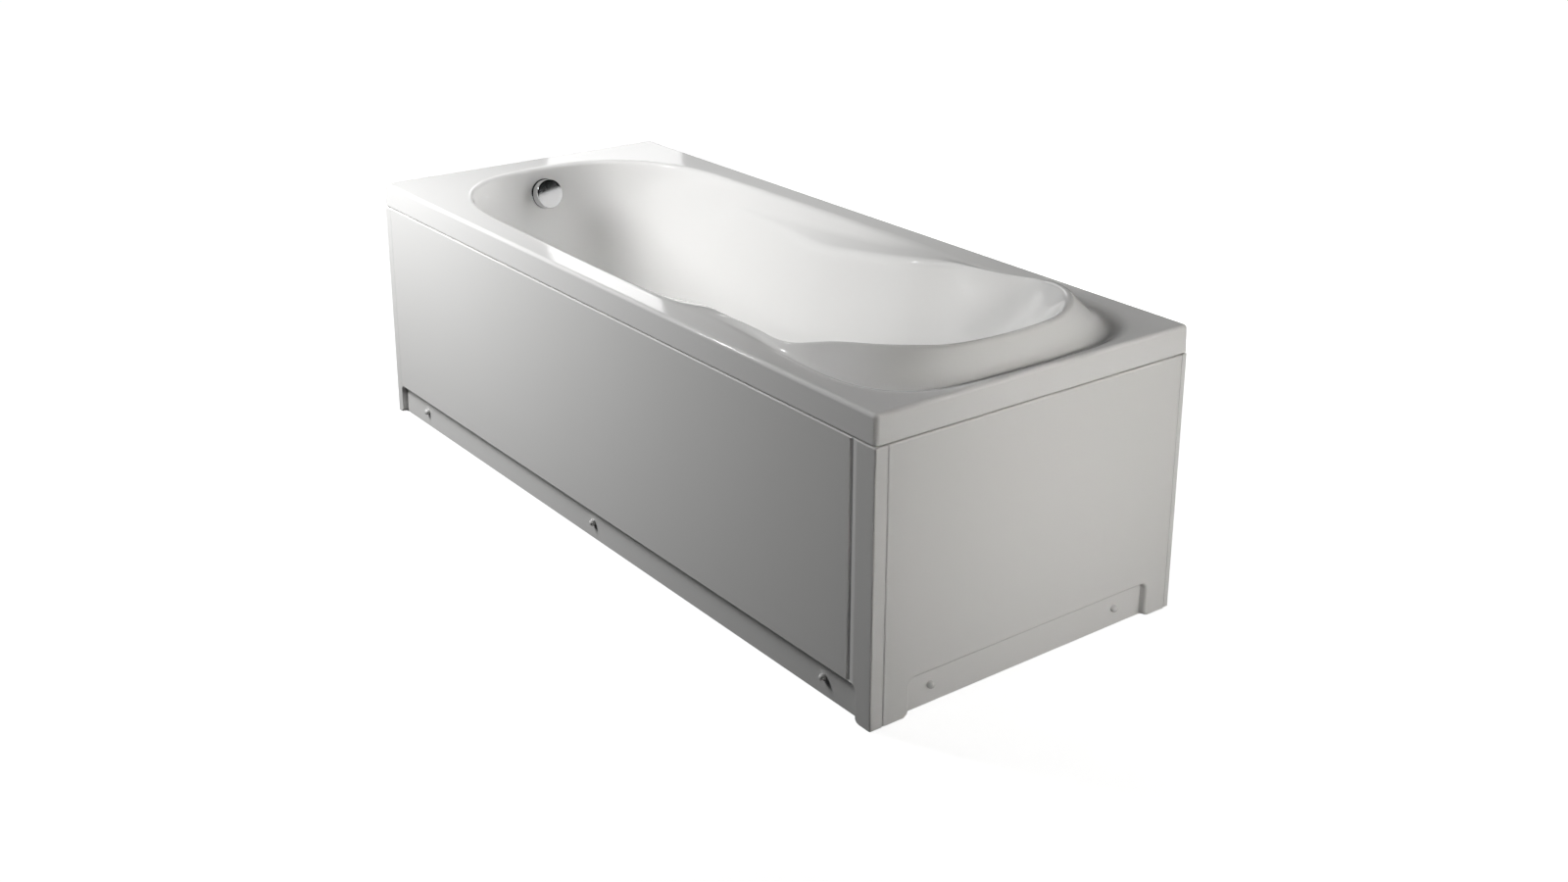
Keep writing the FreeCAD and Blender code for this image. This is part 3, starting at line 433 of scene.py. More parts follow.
ACRYLIC = make_acrylic()
LAMINATE = make_laminate()
PANEL = make_panel()
CHROME = make_chrome()
ZINC = make_zinc()
GALV = make_galvanised()
BOARD = make_board()
BLACK = make_plastic("black_plastic", (0.020, 0.020, 0.022), (0.034, 0.034, 0.036), 0.46)
DARK = make_plastic("dark_recess", (0.012, 0.012, 0.013), (0.020, 0.020, 0.021), 0.36)
WHITE = make_plastic("white_plastic", (0.74, 0.74, 0.72), (0.80, 0.80, 0.785), 0.42)
HOSE = make_plastic("hose_plastic", (0.66, 0.66, 0.64), (0.73, 0.73, 0.71), 0.48)
CAP = make_plastic("screw_plastic", (0.80, 0.80, 0.79), (0.84, 0.84, 0.83), 0.20, 900.0, 0.04)
RUBBER = make_rubber()
FLOOR = make_floor()
BACKDROP = make_backdrop()


# ---------------------------------------------------------------------------
# the tub: rim, basin with arm ledges and head roll, skirt, underside
# K1 = corner between the flat rim and the inside (x, y); K2 = foot of the
# rim's inner face, outer edge of the arm ledge, groove behind the head roll
# (x, y, height over the rim); K3 = top of the basin wall, inner edge of the
# ledge, crest of the head roll; K5 = foot of the wall at the floor (x, y)
# ---------------------------------------------------------------------------
ST = [
    (-770, 0, -761.9, 0, -42, -757.0, 0, -68, -690, 0),
    (-760, 97, -752.4, 93.5, -42, -747.6, 91.3, -68, -684, 62),
    (-730, 164, -723.8, 158.4, -42, -719.9, 154.9, -68, -668, 108),
    (-680, 216, -676.0, 208.7, -42, -673.5, 204.1, -68, -640, 143),
    (-612, 254, -610.6, 245.4, -42, -609.7, 240.0, -68, -598, 168),
    (-522, 277, -522.8, 267.6, -42, -523.3, 261.8, -68, -530, 184),
    (-425, 284, -425.0, 275.2, -42, -425.0, 269.2, -66, -430, 192),
    (-330, 286.5, -332, 272.5, -41, -330, 265.5, -53, -335, 196),
    (-232, 288.5, -232, 270.5, -37, -230, 257.5, -52, -237, 198),
    (-136, 290.5, -136, 270.0, -33, -136, 244.5, -55, -142, 198),
    (-40, 292, -40, 270.0, -29, -38, 231.5, -52, -47, 197),
    (55, 293, 55, 270.0, -22, 57, 228.0, -40, 45, 194),
    (150, 293, 150, 270.5, -13, 158, 230.5, -26, 130, 189),
    (247, 292, 248, 273.0, -3, 262, 237.5, -9, 204, 182),
    (345, 292, 347, 278.0, -1, 356, 259.0, 3, 262, 173),
    (442, 295, 443, 284.0, -1, 450, 271.0, 10, 308, 161),
    (540, 303, 540, 294.0, -1, 541, 285.0, 20, 345, 145),
    (640, 307, 635, 292.0, -6, 620, 256.0, 38.5, 373, 123),
    (735, 291, 716, 268.0, -14, 684, 220.5, 46, 393, 97),
    (797, 245, 770, 215.0, -19, 729, 178.0, 48, 405, 70),
    (825, 175, 800, 148.0, -21, 760, 126.0, 47, 412, 46),
    (829.5, 90, 811, 75.0, -21, 772.5, 64.0, 46.5, 416, 23),
    (831, 0, 813, 0, -21, 775, 0, 46, 418, 0),
]


def periodic(v):
    n = len(v)
    m = [0.0] * n
    for _ in range(80):
        for i in range(n):
            m[i] = (6.0 * (v[i - 1] - 2.0 * v[i] + v[(i + 1) % n]) - m[i - 1] - m[(i + 1) % n]) / 4.0

    def f(u):
        k = math.floor(u)
        t = u - k
        i = int(k) % n
        j = (i + 1) % n
        return ((1 - t) * v[i] + t * v[j] + ((1 - t) ** 3 - (1 - t)) * m[i] / 6.0
                + (t ** 3 - t) * m[j] / 6.0)
    return f


LOOP = 2 * (len(ST) - 1)


def column(c, odd):
    half = [s[c] for s in ST]
    return periodic([float(x) for x in half + [(-1.0 if odd else 1.0) * x for x in half[-2:0:-1]]])


CURVES = [column(c, c in (1, 3, 6, 9)) for c in range(10)]


def floor_z(x):
    return FLOOR_Z + FLOOR_FALL * (x - WASTE_X)


def unit(v):
    n = np.linalg.norm(v)
    return v / n if n > 1e-9 else v


def keys(u):
    c = [f(u) for f in CURVES]
    return [np.array((c[0], c[1], RIM_Z)), np.array((c[2], c[3], RIM_Z + c[4])),
            np.array((c[5], c[6], RIM_Z + c[7])), np.array((c[8], c[9], floor_z(c[8])))]


NB = (8, 8, 12, 16)              # steps round each corner of the section
NS = (2, 3, 9)                   # steps along each flank between the corners


def section(u, t=0.0):
    ks = keys(u)
    k1, k2, k3, k5 = ks
    ax = min(max(k5[0], WASTE_X), 250.0)
    dirs = [unit(np.array((k2[0] - k1[0], k2[1] - k1[1], 0.0))), unit(k2 - k1), unit(k3 - k2),
            unit(k5 - k3), unit(np.array((ax - k5[0], -k5[1], FLOOR_FALL * (ax - k5[0]))))]
    l12 = np.linalg.norm(k2 - k1)
    l23 = np.linalg.norm(k3 - k2)
    far = max(0.0, l23 - 45.0)
    s1 = min(SET_RIM, 0.45 * l12)
    s3 = min(SET_ROLL + 0.06 * far, 0.42 * l23)
    sets = [(s1, s1),
            (min(SET_LEDGE + 0.18 * far, 0.48 * l12), min(SET_LEDGE + 0.7 * far, 0.42 * l23)),
            (s3, 1.3 * s3), (SET_FLOOR, SET_FLOOR)]
    du = [q - p for p, q in zip(keys(u - 0.02), keys(u + 0.02))] if t > 0 else None
    parts = []
    for i in range(4):
        p = ks[i]
        d1, d2 = dirs[i], dirs[i + 1]
        sa, sb = sets[i]
        if t > 0.0:
            tan = unit(du[i])
            n1 = unit(np.cross(tan, d1))
            n2 = unit(np.cross(tan, d2))
            n1 = -n1 if n1[2] < 0 else n1
            n2 = -n2 if n2[2] < 0 else n2
            p = p - (n1 + n2) * (t / (1.0 + float(n1 @ n2)))
            turn = math.acos(max(-1.0, min(1.0, float(d1 @ d2))))
            grow = t * math.tan(turn / 2.0) * (1.0 if (d2 - d1)[2] > 0 else -1.0)
            sa = max(sa + grow, 1.5)
            sb = max(sb + grow, 1.5)
        pa = p - d1 * sa
        pb = p + d2 * sb
        parts.append([pa * ((1 - w) ** 2) + p * (2 * w * (1 - w)) + pb * (w * w)
                      for w in (k / NB[i] for k in range(NB[i] + 1))])
    rows = list(parts[0])
    for i in range(1, 4):
        a, b = parts[i - 1][-1], parts[i][0]
        rows += [a + (b - a) * (k / (NS[i - 1] + 1.0)) for k in range(1, NS[i - 1] + 1)]
        rows += parts[i]
    return rows, dirs


PER = 8                          # columns of the mesh between two stations
COLS = LOOP * PER


def rounded_rect(hx, hy, r, z, nc=10, nx=28, ny=12):
    pts = []
    r = max(r, 0.3)
    quarter = [(math.cos(math.pi / 2 * k / nc), math.sin(math.pi / 2 * k / nc)) for k in range(nc + 1)]
    # counter-clockwise, from the middle of the corner at (+x, -y)
    for cx, cy, rot in ((hx - r, -hy + r, -90), (hx - r, hy - r, 0), (-hx + r, hy - r, 90), (-hx + r, -hy + r, 180)):
        c, s = math.cos(math.radians(rot)), math.sin(math.radians(rot))
        arc = [(cx + r * (c * a - s * b), cy + r * (s * a + c * b)) for a, b in quarter]
        if pts:
            x0, y0 = pts[-1]
            n = ny if rot in (0, 180) else nx
            x1, y1 = arc[0]
            pts += [(x0 + (x1 - x0) * k / n, y0 + (y1 - y0) * k / n) for k in range(1, n)]
        pts += arc
    x0, y0 = pts[-1]
    x1, y1 = pts[0]
    pts += [(x0 + (x1 - x0) * k / nx, y0 + (y1 - y0) * k / nx) for k in range(1, nx)]
    return [np.array((x, y, z)) for x, y in pts]


def make_tub():
    verts, faces, mats = [], [], []

    def add(points):
        i = len(verts)
        verts.extend(points)
        return list(range(i, i + len(points)))

    def bridge(a, b, mat):
        n = len(a)
        for k in range(n):
            faces.append((a[k], a[(k + 1) % n], b[(k + 1) % n], b[k]))
            mats.append(mat)

    def cap(loop, pts, mat, m=14):
        n = len(loop)
        h = n // 2
        rows = [[loop[0]]]
        for i in range(1, h):
            a, b = pts[i], pts[n - i]
            inner = add([a + (b - a) * (k / float(m)) for k in range(1, m)])
            rows.append([loop[i]] + inner + [loop[n - i]])
        rows.append([loop[h]])
        for r0, r1 in zip(rows, rows[1:]):
            if len(r0) == 1:
                for k in range(len(r1) - 1):
                    faces.append((r0[0], r1[k], r1[k + 1]))
                    mats.append(mat)
            elif len(r1) == 1:
                for k in range(len(r0) - 1):
                    faces.append((r0[k], r1[0], r0[k + 1]))
                    mats.append(mat)
            else:
                for k in range(len(r0) - 1):
                    faces.append((r0[k], r1[k], r1[k + 1], r0[k + 1]))
                    mats.append(mat)

    top = [section(LOOP * i / float(COLS)) for i in range(COLS)]
    low = [section(LOOP * i / float(COLS), SHELL_T) for i in range(COLS)]
    nrow = len(top[0][0])
    loops = []
    for r in range(nrow):
        loops.append(add([top[i][0][r] for i in range(COLS)]))
    for a, b in zip(loops, loops[1:]):
        bridge(a, b, 0)
    cap(loops[-1], [top[i][0][-1] for i in range(COLS)], 0)

    under = [add([np.array((*(top[i][0][0] - top[i][1][0] * 7.0)[:2], RIM_Z - RIM_T)) for i in range(COLS)])]
    r0 = NB[0]
    for r in range(r0, nrow):
        under.append(add([low[i][0][r] for i in range(COLS)]))
    for a, b in zip(under, under[1:]):
        bridge(a, b, 1)
    cap(under[-1], [low[i][0][-1] for i in range(COLS)], 1)

    z_sk = RIM_Z - SKIRT_H
    prof = []                     # inset from the skirt's outer face at its foot, height, plan radius
    for k in range(9):
        a = math.pi / 2 * k / 8.0
        prof.append((TOP_R * (1 - math.cos(math.pi / 2 - a)), RIM_Z - TOP_R * (1 - math.sin(math.pi / 2 - a)), 0))
    for z in (RIM_Z - 18.0, RIM_Z - 34.0, z_sk + 1.5):
        prof.append((0.0, z, 0))
    for k in range(1, 5):
        a = math.pi / 2 * k / 4.0
        prof.append((1.5 * (1 - math.cos(a)), z_sk + 1.5 * (1 - math.sin(a)), 0))
    prof.append((SKIRT_T - 1.0, z_sk, 1))
    prof.append((SKIRT_T, z_sk + 1.0, 1))
    prof.append((SKIRT_T, RIM_Z - RIM_T - 12.0, 1))
    for k in range(0, 5):
        a = math.pi / 2 * k / 4.0
        prof.append((SKIRT_T + 4.0 * (1 - math.cos(a)), RIM_Z - RIM_T - 4.0 * (1 - math.sin(a)), 1))
    rings = []
    for inset, z, mat in prof:
        d = SKIRT_DRAFT * (z - z_sk) / SKIRT_H + inset
        rings.append((add(rounded_rect(HX - d, HY - d, SKIRT_R - inset, z)), mat))
    for (a, _), (b, mat) in zip(rings, rings[1:]):
        bridge(a, b, mat)

    ob = obj_of("bath_tub", verts, faces, (ACRYLIC, LAMINATE))
    for poly, mat in zip(ob.data.polygons, mats):
        poly.material_index = mat
    bm = bmesh.new()
    bm.from_mesh(ob.data)
    bm.verts.ensure_lookup_table()

    def loop_edges(ids):
        es = []
        for k in range(len(ids)):
            e = bm.edges.get((bm.verts[ids[k]], bm.verts[ids[(k + 1) % len(ids)]]))
            es.append(e)
        return es

    for outer, inner, mat in ((rings[0][0], loops[0], 0), (rings[-1][0], under[0], 1)):
        made = bmesh.ops.triangle_fill(bm, use_beauty=True, use_dissolve=False,
                                       edges=loop_edges(outer) + loop_edges(inner))
        for g in made["geom"]:
            if isinstance(g, bmesh.types.BMFace):
                g.material_index = mat
    bmesh.ops.recalc_face_normals(bm, faces=bm.faces)
    open_edges = sum(1 for e in bm.edges if len(e.link_faces) != 2)
    print("tub: open edges", open_edges, "faces", len(bm.faces), "volume l", bm.calc_volume() * 1000)
    bm.to_mesh(ob.data)
    bm.free()

    # the holes' cutters stand a hair off the mesh's middle line, so that no
    # two edges fall together
    o, n = OVER_O + np.array([0.0, 0.03, 0.0]), OVER_N
    cut(ob, [cylinder("cut_overflow", o - n * 22.0, o + n * 22.0, 26.0, mats=(ACRYLIC, LAMINATE), mat_index=1),
             cylinder("cut_waste", (WASTE_X + 0.02, 0.03, 100.0), (WASTE_X + 0.02, 0.03, 150.0), 27.0, mats=(ACRYLIC, LAMINATE), mat_index=1)])
    smooth(ob, 38.0)
    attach(ob, "tub")
    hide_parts("bath_shell")
    return ob


# ---------------------------------------------------------------------------
# formed panels: one sheet each, with corner returns, toe recess, grooves,
# rounded top edge, top flange and lip
# ---------------------------------------------------------------------------
SHEET = 2.6
RC = 3.0
REC_R, FOOT_R = 12.0, 8.0


def quarter(n):
    return [math.pi / 2 * k / n for k in range(n + 1)]


def make_panel_sheet(name, body, node, ends, returns, rec, grooves, lip, place, holes, er=1.2):
    a0, a1 = ends
    flange = [0.0, 1.4, 2.9, 4.5]
    # plan path: (position, inward normal, kind, distance from the corner)
    path = []

    def run(values, kind):
        for v in values:
            if kind == "start":
                path.append((np.array((a0, v)), np.array((1.0, 0.0)), kind, v - RC))
            elif kind == "end":
                path.append((np.array((a1, v)), np.array((-1.0, 0.0)), kind, v - RC))
            else:
                path.append((np.array((v, 0.0)), np.array((0.0, 1.0)), kind, min(v - a0 - RC, a1 - RC - v)))

    far0 = [RC + f for f in flange] + [v for v in spans((RC + 7.0, returns[0], 6.0)) if v > RC + 5.0]
    run(sorted(far0, reverse=True), "start")
    for t in quarter(6)[1:-1]:
        c = np.array((a0 + RC, RC))
        path.append((c - RC * np.array((math.cos(t), math.sin(t))), np.array((math.cos(t), math.sin(t))), "arc", 0.0))
    # er = radius of the recess's outer edge
    edge = [-er - 0.5] + [-0.2 - (er - 0.2) * k for k in (1.0, 0.7, 0.4, 0.2)] + [-0.2, 0.2, 0.6, 1.1, 1.6, 2.1, 2.7]
    xs = [a0 + RC + f for f in flange] + [a1 - RC - f for f in flange]
    xs += [rec[0] + e for e in edge] + [rec[1] - e for e in edge]
    fine = [(rec[0] + 3.3, rec[0] + 15.0, 0.8), (rec[1] - 15.0, rec[1] - 3.3, 0.8),
            (rec[0] - FOOT_R - 3.5, rec[0] - 3.0, 0.8), (rec[1] + 3.0, rec[1] + FOOT_R + 3.5, 0.8)]
    body_x = spans((a0 + RC + 7.0, a1 - RC - 7.0, 42.0), *fine)
    busy = [(rec[0] - er - 0.8, rec[0] + 3.1), (rec[1] - 3.1, rec[1] + er + 0.8)]
    xs += [v for v in body_x if not any(p < v < q for p, q in busy)]
    if lip:
        xs += [lip[0], lip[1]]
    for g0, gm, g1, _ in grooves:
        gx = [g0 - 1.2, g0 - 0.4, g0 + 0.4, g0 + 1.4, (g0 + gm) / 2, gm - 1.2, gm - 0.4, gm, gm + 0.4, gm + 1.2,
              (gm + g1) / 2, g1 - 1.8, g1 - 0.6, g1 + 0.6, g1 + 1.8]
        gx = [v for k, v in enumerate(gx) if k == 0 or v - gx[k - 1] > 0.3]
        xs = [v for v in xs if all(abs(v - g) > 0.3 for g in gx) or v in lip] + gx
    xs = sorted(xs)
    xs = [v for k, v in enumerate(xs) if k == 0 or v - xs[k - 1] > 0.02]
    run(xs, "face")
    for t in reversed(quarter(6)[1:-1]):
        c = np.array((a1 - RC, RC))
        path.append((c + RC * np.array((math.cos(t), -math.sin(t))), np.array((-math.cos(t), math.sin(t))), "arc", 0.0))
    far1 = [RC + f for f in flange] + [v for v in spans((RC + 7.0, returns[1], 6.0)) if v > RC + 5.0]
    run(sorted(far1), "end")

    # rows: (height on the face, depth on the flange, extra height)
    zs = [RECESS_TOP - e for e in edge] + spans((PANEL_FOOT, PANEL_FOOT + FOOT_R + 2.4, 0.8)) + \
        spans((PANEL_FOOT + FOOT_R + 4.0, RECESS_TOP - 15.0, 12.0)) + \
        spans((RECESS_TOP - 15.0, RECESS_TOP - 3.3, 0.8)) + spans((RECESS_TOP + 3.8, PANEL_TOP - RC, 30.0))
    zs = sorted(zs)
    zs = [v for k, v in enumerate(zs) if k == 0 or v - zs[k - 1] > 0.02]
    rows = [("z", z) for z in zs]
    rows += [("r", t) for t in quarter(6)[1:]]
    rows += [("f", f) for f in flange[1:]]
    n_flange = len(rows)
    if lip:
        rows += [("l", t) for t in quarter(3)[1:]]
        rows += [("u", PANEL_TOP + 2.0 + (15.0 * k) / 3.0) for k in range(1, 4)]

    hw = (rec[1] - rec[0]) / 2.0
    ac = (rec[0] + rec[1]) / 2.0
    hz = 300.0
    zc = RECESS_TOP - hz

    def inside(a, z):
        # distance inside the toe recess, whose upper corners are rounded;
        # the feet on both sides of it have a rounded lower corner
        qx, qz = abs(a - ac) - (hw - REC_R), abs(z - zc) - (hz - REC_R)
        d = -(math.hypot(max(qx, 0.0), max(qz, 0.0)) + min(max(qx, qz), 0.0) - REC_R)
        u = abs(a - ac) - hw - FOOT_R
        w = PANEL_FOOT + FOOT_R - z
        if w > 0.0:
            d = math.hypot(u, w) - FOOT_R if u < 0.0 else max(d, w - FOOT_R - u)
        return d

    def notch(a):
        for g0, gm, g1, deep in grooves:
            if g0 < a <= gm:
                return deep * (a - g0) / (gm - g0)
            if gm < a < g1:
                return deep * (g1 - a) / (g1 - gm)
        return 0.0

    def curve(d):
        # edge rounding, wall and inner corner of the recess
        if d <= -er:
            return d, 0.0
        if d < -0.2:
            t = (d + er) / (er - 0.2) * math.pi / 2
            return -er + er * math.sin(t), er - er * math.cos(t)
        if d <= 0.6:
            t = (d + 0.2) / 0.8
            return 0.3 * t, er + (10.0 - er) * t
        if d < 2.6:
            t = (d - 0.6) / 2.0 * math.pi / 2
            return 0.3 + 2.0 * (1 - math.cos(t)), 10.0 + 2.0 * math.sin(t)
        return d, RECESS_D

    def ramp(x):
        x = min(max(x, 0.0), 1.0)
        return x * x * (3 - 2 * x)

    grid = []
    for p, nrm, kind, dist in path:
        col = []
        for what, v in rows:
            a, b, z = p[0], p[1], None
            if what == "z":
                z = v
                if kind == "face":
                    d = inside(a, z)
                    b += notch(p[0]) * ramp(-d / 3.0)
                    if d > -er:
                        e = 0.01
                        ga = (inside(a + e, z) - inside(a - e, z)) / (2 * e)
                        gz = (inside(a, z + e) - inside(a, z - e)) / (2 * e)
                        s, h = curve(d)
                        b += h
                        if z > PANEL_FOOT + 0.01:
                            z += (s - d) * gz
                        a += (s - d) * ga
            elif what == "r":
                z = PANEL_TOP - RC + RC * math.sin(v)
                s = RC * (1 - math.cos(v))
                if kind == "face":
                    s += notch(p[0]) * math.cos(v)
                a, b = a + nrm[0] * s, b + nrm[1] * s
            elif what == "f":
                z = PANEL_TOP
                s = RC + min(v, max(dist, 0.0))
                a, b = a + nrm[0] * s, b + nrm[1] * s
            elif what == "l":
                z = PANEL_TOP + 2.0 * (1 - math.cos(v))
                s = 7.5 + 2.0 * math.sin(v)
                a, b = a + nrm[0] * s, b + nrm[1] * s
            else:
                z = v
                a, b = a + nrm[0] * 9.5, b + nrm[1] * 9.5
            col.append((a, b, z))
        grid.append(col)
    verts = [place(*q) for col in grid for q in col]
    nr = len(rows)
    faces = []
    for i in range(len(grid) - 1):
        for j in range(nr - 1):
            if j >= n_flange - 1:
                ks = path[i][2], path[i + 1][2]
                if ks != ("face", "face") or not (lip[0] - 0.01 <= path[i][0][0] and path[i + 1][0][0] <= lip[1] + 0.01):
                    continue
            faces.append((i * nr + j, (i + 1) * nr + j, (i + 1) * nr + j + 1, i * nr + j + 1))
    ob = obj_of(name, verts, faces, (PANEL,))
    bm = bmesh.new()
    bm.from_mesh(ob.data)
    bmesh.ops.remove_doubles(bm, verts=bm.verts, dist=2e-6)
    bmesh.ops.dissolve_degenerate(bm, edges=bm.edges, dist=1e-6)
    loose = [v for v in bm.verts if not v.link_faces]
    bmesh.ops.delete(bm, geom=loose, context="VERTS")
    bmesh.ops.recalc_face_normals(bm, faces=bm.faces)
    # the outer side faces away from the bath
    centre = Vector(place((a0 + a1) / 2, 0, 300.0)) * MM
    out = (Vector(place((a0 + a1) / 2, -10.0, 300.0)) - Vector(place((a0 + a1) / 2, 0, 300.0))).normalized()
    nearest = min(bm.faces, key=lambda f: (f.calc_center_median() - centre).length)
    if nearest.normal.dot(out) < 0:
        bmesh.ops.reverse_faces(bm, faces=bm.faces)
    bm.to_mesh(ob.data)
    bm.free()
    s = ob.modifiers.new("sheet", "SOLIDIFY")
    s.thickness = SHEET * MM
    s.offset = -1.0
    s.use_even_offset = True
    s.use_rim = True
    baked(ob)
    cutters = []
    for k, a in enumerate(holes):
        cutters.append(cylinder("hole%d" % k, place(a, 2.0, KNOB_Z), place(a, 24.0, KNOB_Z), 2.7, 32, (PANEL,)))
    cut(ob, cutters)
    smooth(ob, 40.0)
    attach(ob, body)
    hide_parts(node)
    return ob


# ---------------------------------------------------------------------------
# panel screws with a domed cap
# ---------------------------------------------------------------------------
CAP_PROFILE = [(0.0, -16.0), (1.9, -16.0), (2.45, -14.6), (2.45, 0.35), (5.6, 0.35), (6.2, 0.55), (6.5, 1.1),
               (6.5, 3.6), (6.42, 4.5), (6.15, 5.5), (5.7, 6.45), (5.05, 7.35), (4.2, 8.2), (3.2, 8.9),
               (2.1, 9.4), (1.0, 9.7), (0.0, 9.8)]


def make_screw(name, node, body, origin, axis):
    ob = lathe(name, CAP_PROFILE, origin, axis, 56, (CAP,))
    smooth(ob, 40.0)
    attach(ob, body)
    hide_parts(node)
    return ob


# ---------------------------------------------------------------------------
# overflow hose: ribbed tube on the smooth line between its two fittings
# ---------------------------------------------------------------------------
HOSE_ROUTE = [(-0.786, 0.0, 0.432), (-0.786, 0.0, 0.352), (-0.786, 0.0, 0.090), (-0.612, 0.0, 0.090)]


def smooth_line(points, name):
    cu = bpy.data.curves.new(name, "CURVE")
    cu.dimensions = "3D"
    cu.resolution_u = 48
    sp = cu.splines.new("NURBS")
    sp.points.add(len(points) - 1)
    for q, p in zip(sp.points, points):
        q.co = (*p, 1.0)
    sp.order_u = 3
    sp.use_endpoint_u = True
    ob = bpy.data.objects.new(name, cu)
    SCENE.collection.objects.link(ob)
    bpy.context.view_layer.update()
    dg = bpy.context.evaluated_depsgraph_get()
    me = bpy.data.meshes.new_from_object(ob.evaluated_get(dg))
    line = [v.co.copy() for v in me.vertices]
    bpy.data.meshes.remove(me)
    bpy.data.objects.remove(ob)
    bpy.data.curves.remove(cu)
    return line


def make_hose():
    line = smooth_line(HOSE_ROUTE, "hose_line")
    at = [0.0]
    for a, b in zip(line, line[1:]):
        at.append(at[-1] + (b - a).length)
    total = at[-1]
    pitch, r_out, r_in, bore = 0.0052, 0.0195, 0.0172, 0.0163
    cuff = 0.022
    n = 40
    side = Vector((0.0, 1.0, 0.0))

    def point(s):
        s = min(max(s, 0.0), total)
        k = 0
        while k < len(at) - 2 and at[k + 1] < s:
            k += 1
        f = (s - at[k]) / max(at[k + 1] - at[k], 1e-12)
        return line[k].lerp(line[k + 1], f)

    rings = []
    s = 0.0
    stations = [(0.0, r_out)]
    while s < total:
        in_cuff = s < cuff or s > total - cuff
        if in_cuff:
            stations.append((s, r_out))
            s += 0.0055
        else:
            for f, r in ((0.0, r_in), (0.22, r_in), (0.34, r_out - 0.0003), (0.45, r_out), (0.65, r_out), (0.78, r_out - 0.0003), (0.9, r_in)):
                if s + f * pitch < total - cuff:
                    stations.append((s + f * pitch, r))
            s += pitch
    stations.append((total, r_out))
    stations = [q for k, q in enumerate(stations) if k == 0 or q[0] - stations[k - 1][0] > 1e-5]
    verts, faces = [], []
    outer = []
    for s, r in stations + [(total, bore)] + [(total * (1 - k / 40.0), bore) for k in range(1, 40)] + [(0.0, bore)]:
        p = point(s)
        t = (point(s + 0.001) - point(s - 0.001)).normalized()
        w = side
        v = t.cross(w).normalized()
        ring = []
        for k in range(n):
            a = 2 * math.pi * k / n
            ring.append(len(verts))
            q = p + (w * math.cos(a) + v * math.sin(a)) * r
            verts.append(np.array(q) / MM)
        outer.append(ring)
    m = len(outer)
    for i in range(m):
        a, b = outer[i], outer[(i + 1) % m]
        for k in range(n):
            faces.append((a[k], a[(k + 1) % n], b[(k + 1) % n], b[k]))
    ob = obj_of("overflow_hose_ribbed", verts, faces, (HOSE,))
    outward(ob)
    smooth(ob, 60.0, weighted=False)
    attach(ob, "tub")
    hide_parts("overflow_hose")
    print("hose length", round(total, 4))
    return ob


tub = make_tub()

front = make_panel_sheet(
    "front_panel_sheet", "front_panel", "front_panel", (-HX, HX), (26.0, 25.0), (-828.0, 812.0),
    [(-828.6, -826.6, -824.6, 1.0), (788.5, 795.0, 806.0, 2.4)], (-800.0, 800.0), lambda a, b, z: (a, -HY + b, z), (-718.0, -5.0, 718.0))
end = make_panel_sheet(
    "end_panel_sheet", "end_panel", "end_panel", (-323.0, 337.0), (15.0, 15.0), (-269.0, 284.0),
    [], (-311.0, 325.0), lambda a, b, z: (HX - b, a, z), (-215.0, 215.0), er=4.5)

for nm, x in (("left", -718.0), ("middle", -5.0), ("right", 718.0)):
    make_screw("front_cap_" + nm, "front_screw_" + nm, "front_screw_" + nm, (x, -HY + RECESS_D, KNOB_Z), (0, -1, 0))
for nm, y in (("front", -215.0), ("rear", 215.0)):
    make_screw("end_cap_" + nm, "end_screw_" + nm, "end_screw_" + nm, (HX - RECESS_D, y, KNOB_Z), (1, 0, 0))

make_hose()

# ---------------------------------------------------------------------------
# carried-over nodes: broken edges and a finish for each
# ---------------------------------------------------------------------------
FINISH = {
    "base_board": (BOARD, 0.8), "rear_corner_post": (PANEL, 0.5), "panel_clips": (BLACK, 0.4),
    "overflow_ring": (CHROME, 0.35), "overflow_gasket": (RUBBER, 0.4), "overflow_elbow": (WHITE, 0.7),
    "pull_cable": (BLACK, 0.0), "cable_ferrules": (ZINC, 0.3), "waste_flange": (CHROME, 0.5),
    "waste_gasket": (RUBBER, 0.5), "waste_body": (WHITE, 0.8), "trap_body": (WHITE, 0.9),
    "trap_nut": (WHITE, 0.7), "trap_outlet": (WHITE, 0.4), "outlet_nut": (WHITE, 0.7),
    "overflow_knob": (CHROME, 0.4), "knob_spindle": (ZINC, 0.4), "waste_plug": (CHROME, 0.3),
    "plug_stem": (ZINC, 0.3), "wall_brackets": (ZINC, 0.3), "rail_end_caps": (BLACK, 0.6),
    "frame_bolts": (ZINC, 0.3), "frame_nuts": (ZINC, 0.3), "foot_weld_nuts": (ZINC, 0.3),
    "foot_lock_nuts": (ZINC, 0.3), "rail_screws": (ZINC, 0.2), "clip_screws": (ZINC, 0.2),
}
for n in NODES:
    if n.startswith(("frame_rail", "cross_rail", "panel_rail")):
        FINISH[n] = (GALV, 0.7)
    elif n.startswith("foot_spindle"):
        FINISH[n] = (ZINC, 0.3)
    elif n.startswith("foot_pad"):
        FINISH[n] = (BLACK, 0.8)

for n, ob in NODES.items():
    if ob.hide_render:
        continue
    mat, width = FINISH[n]
    ob.data.materials.clear()
    ob.data.materials.append(mat)
    w = ob.modifiers.new("weld", "WELD")
    w.merge_threshold = 1e-5
    if width:
        b = ob.modifiers.new("edges", "BEVEL")
        b.width = width * MM
        b.segments = 2
        b.limit_method = "ANGLE"
        b.angle_limit = math.radians(38.0)
        b.use_clamp_overlap = True
        b.harden_normals = False
    ob.data.shade_smooth()
    v = ob.modifiers.new("normals", "WEIGHTED_NORMAL")
    v.mode = "FACE_AREA"
    v.weight = 50
    v.keep_sharp = False

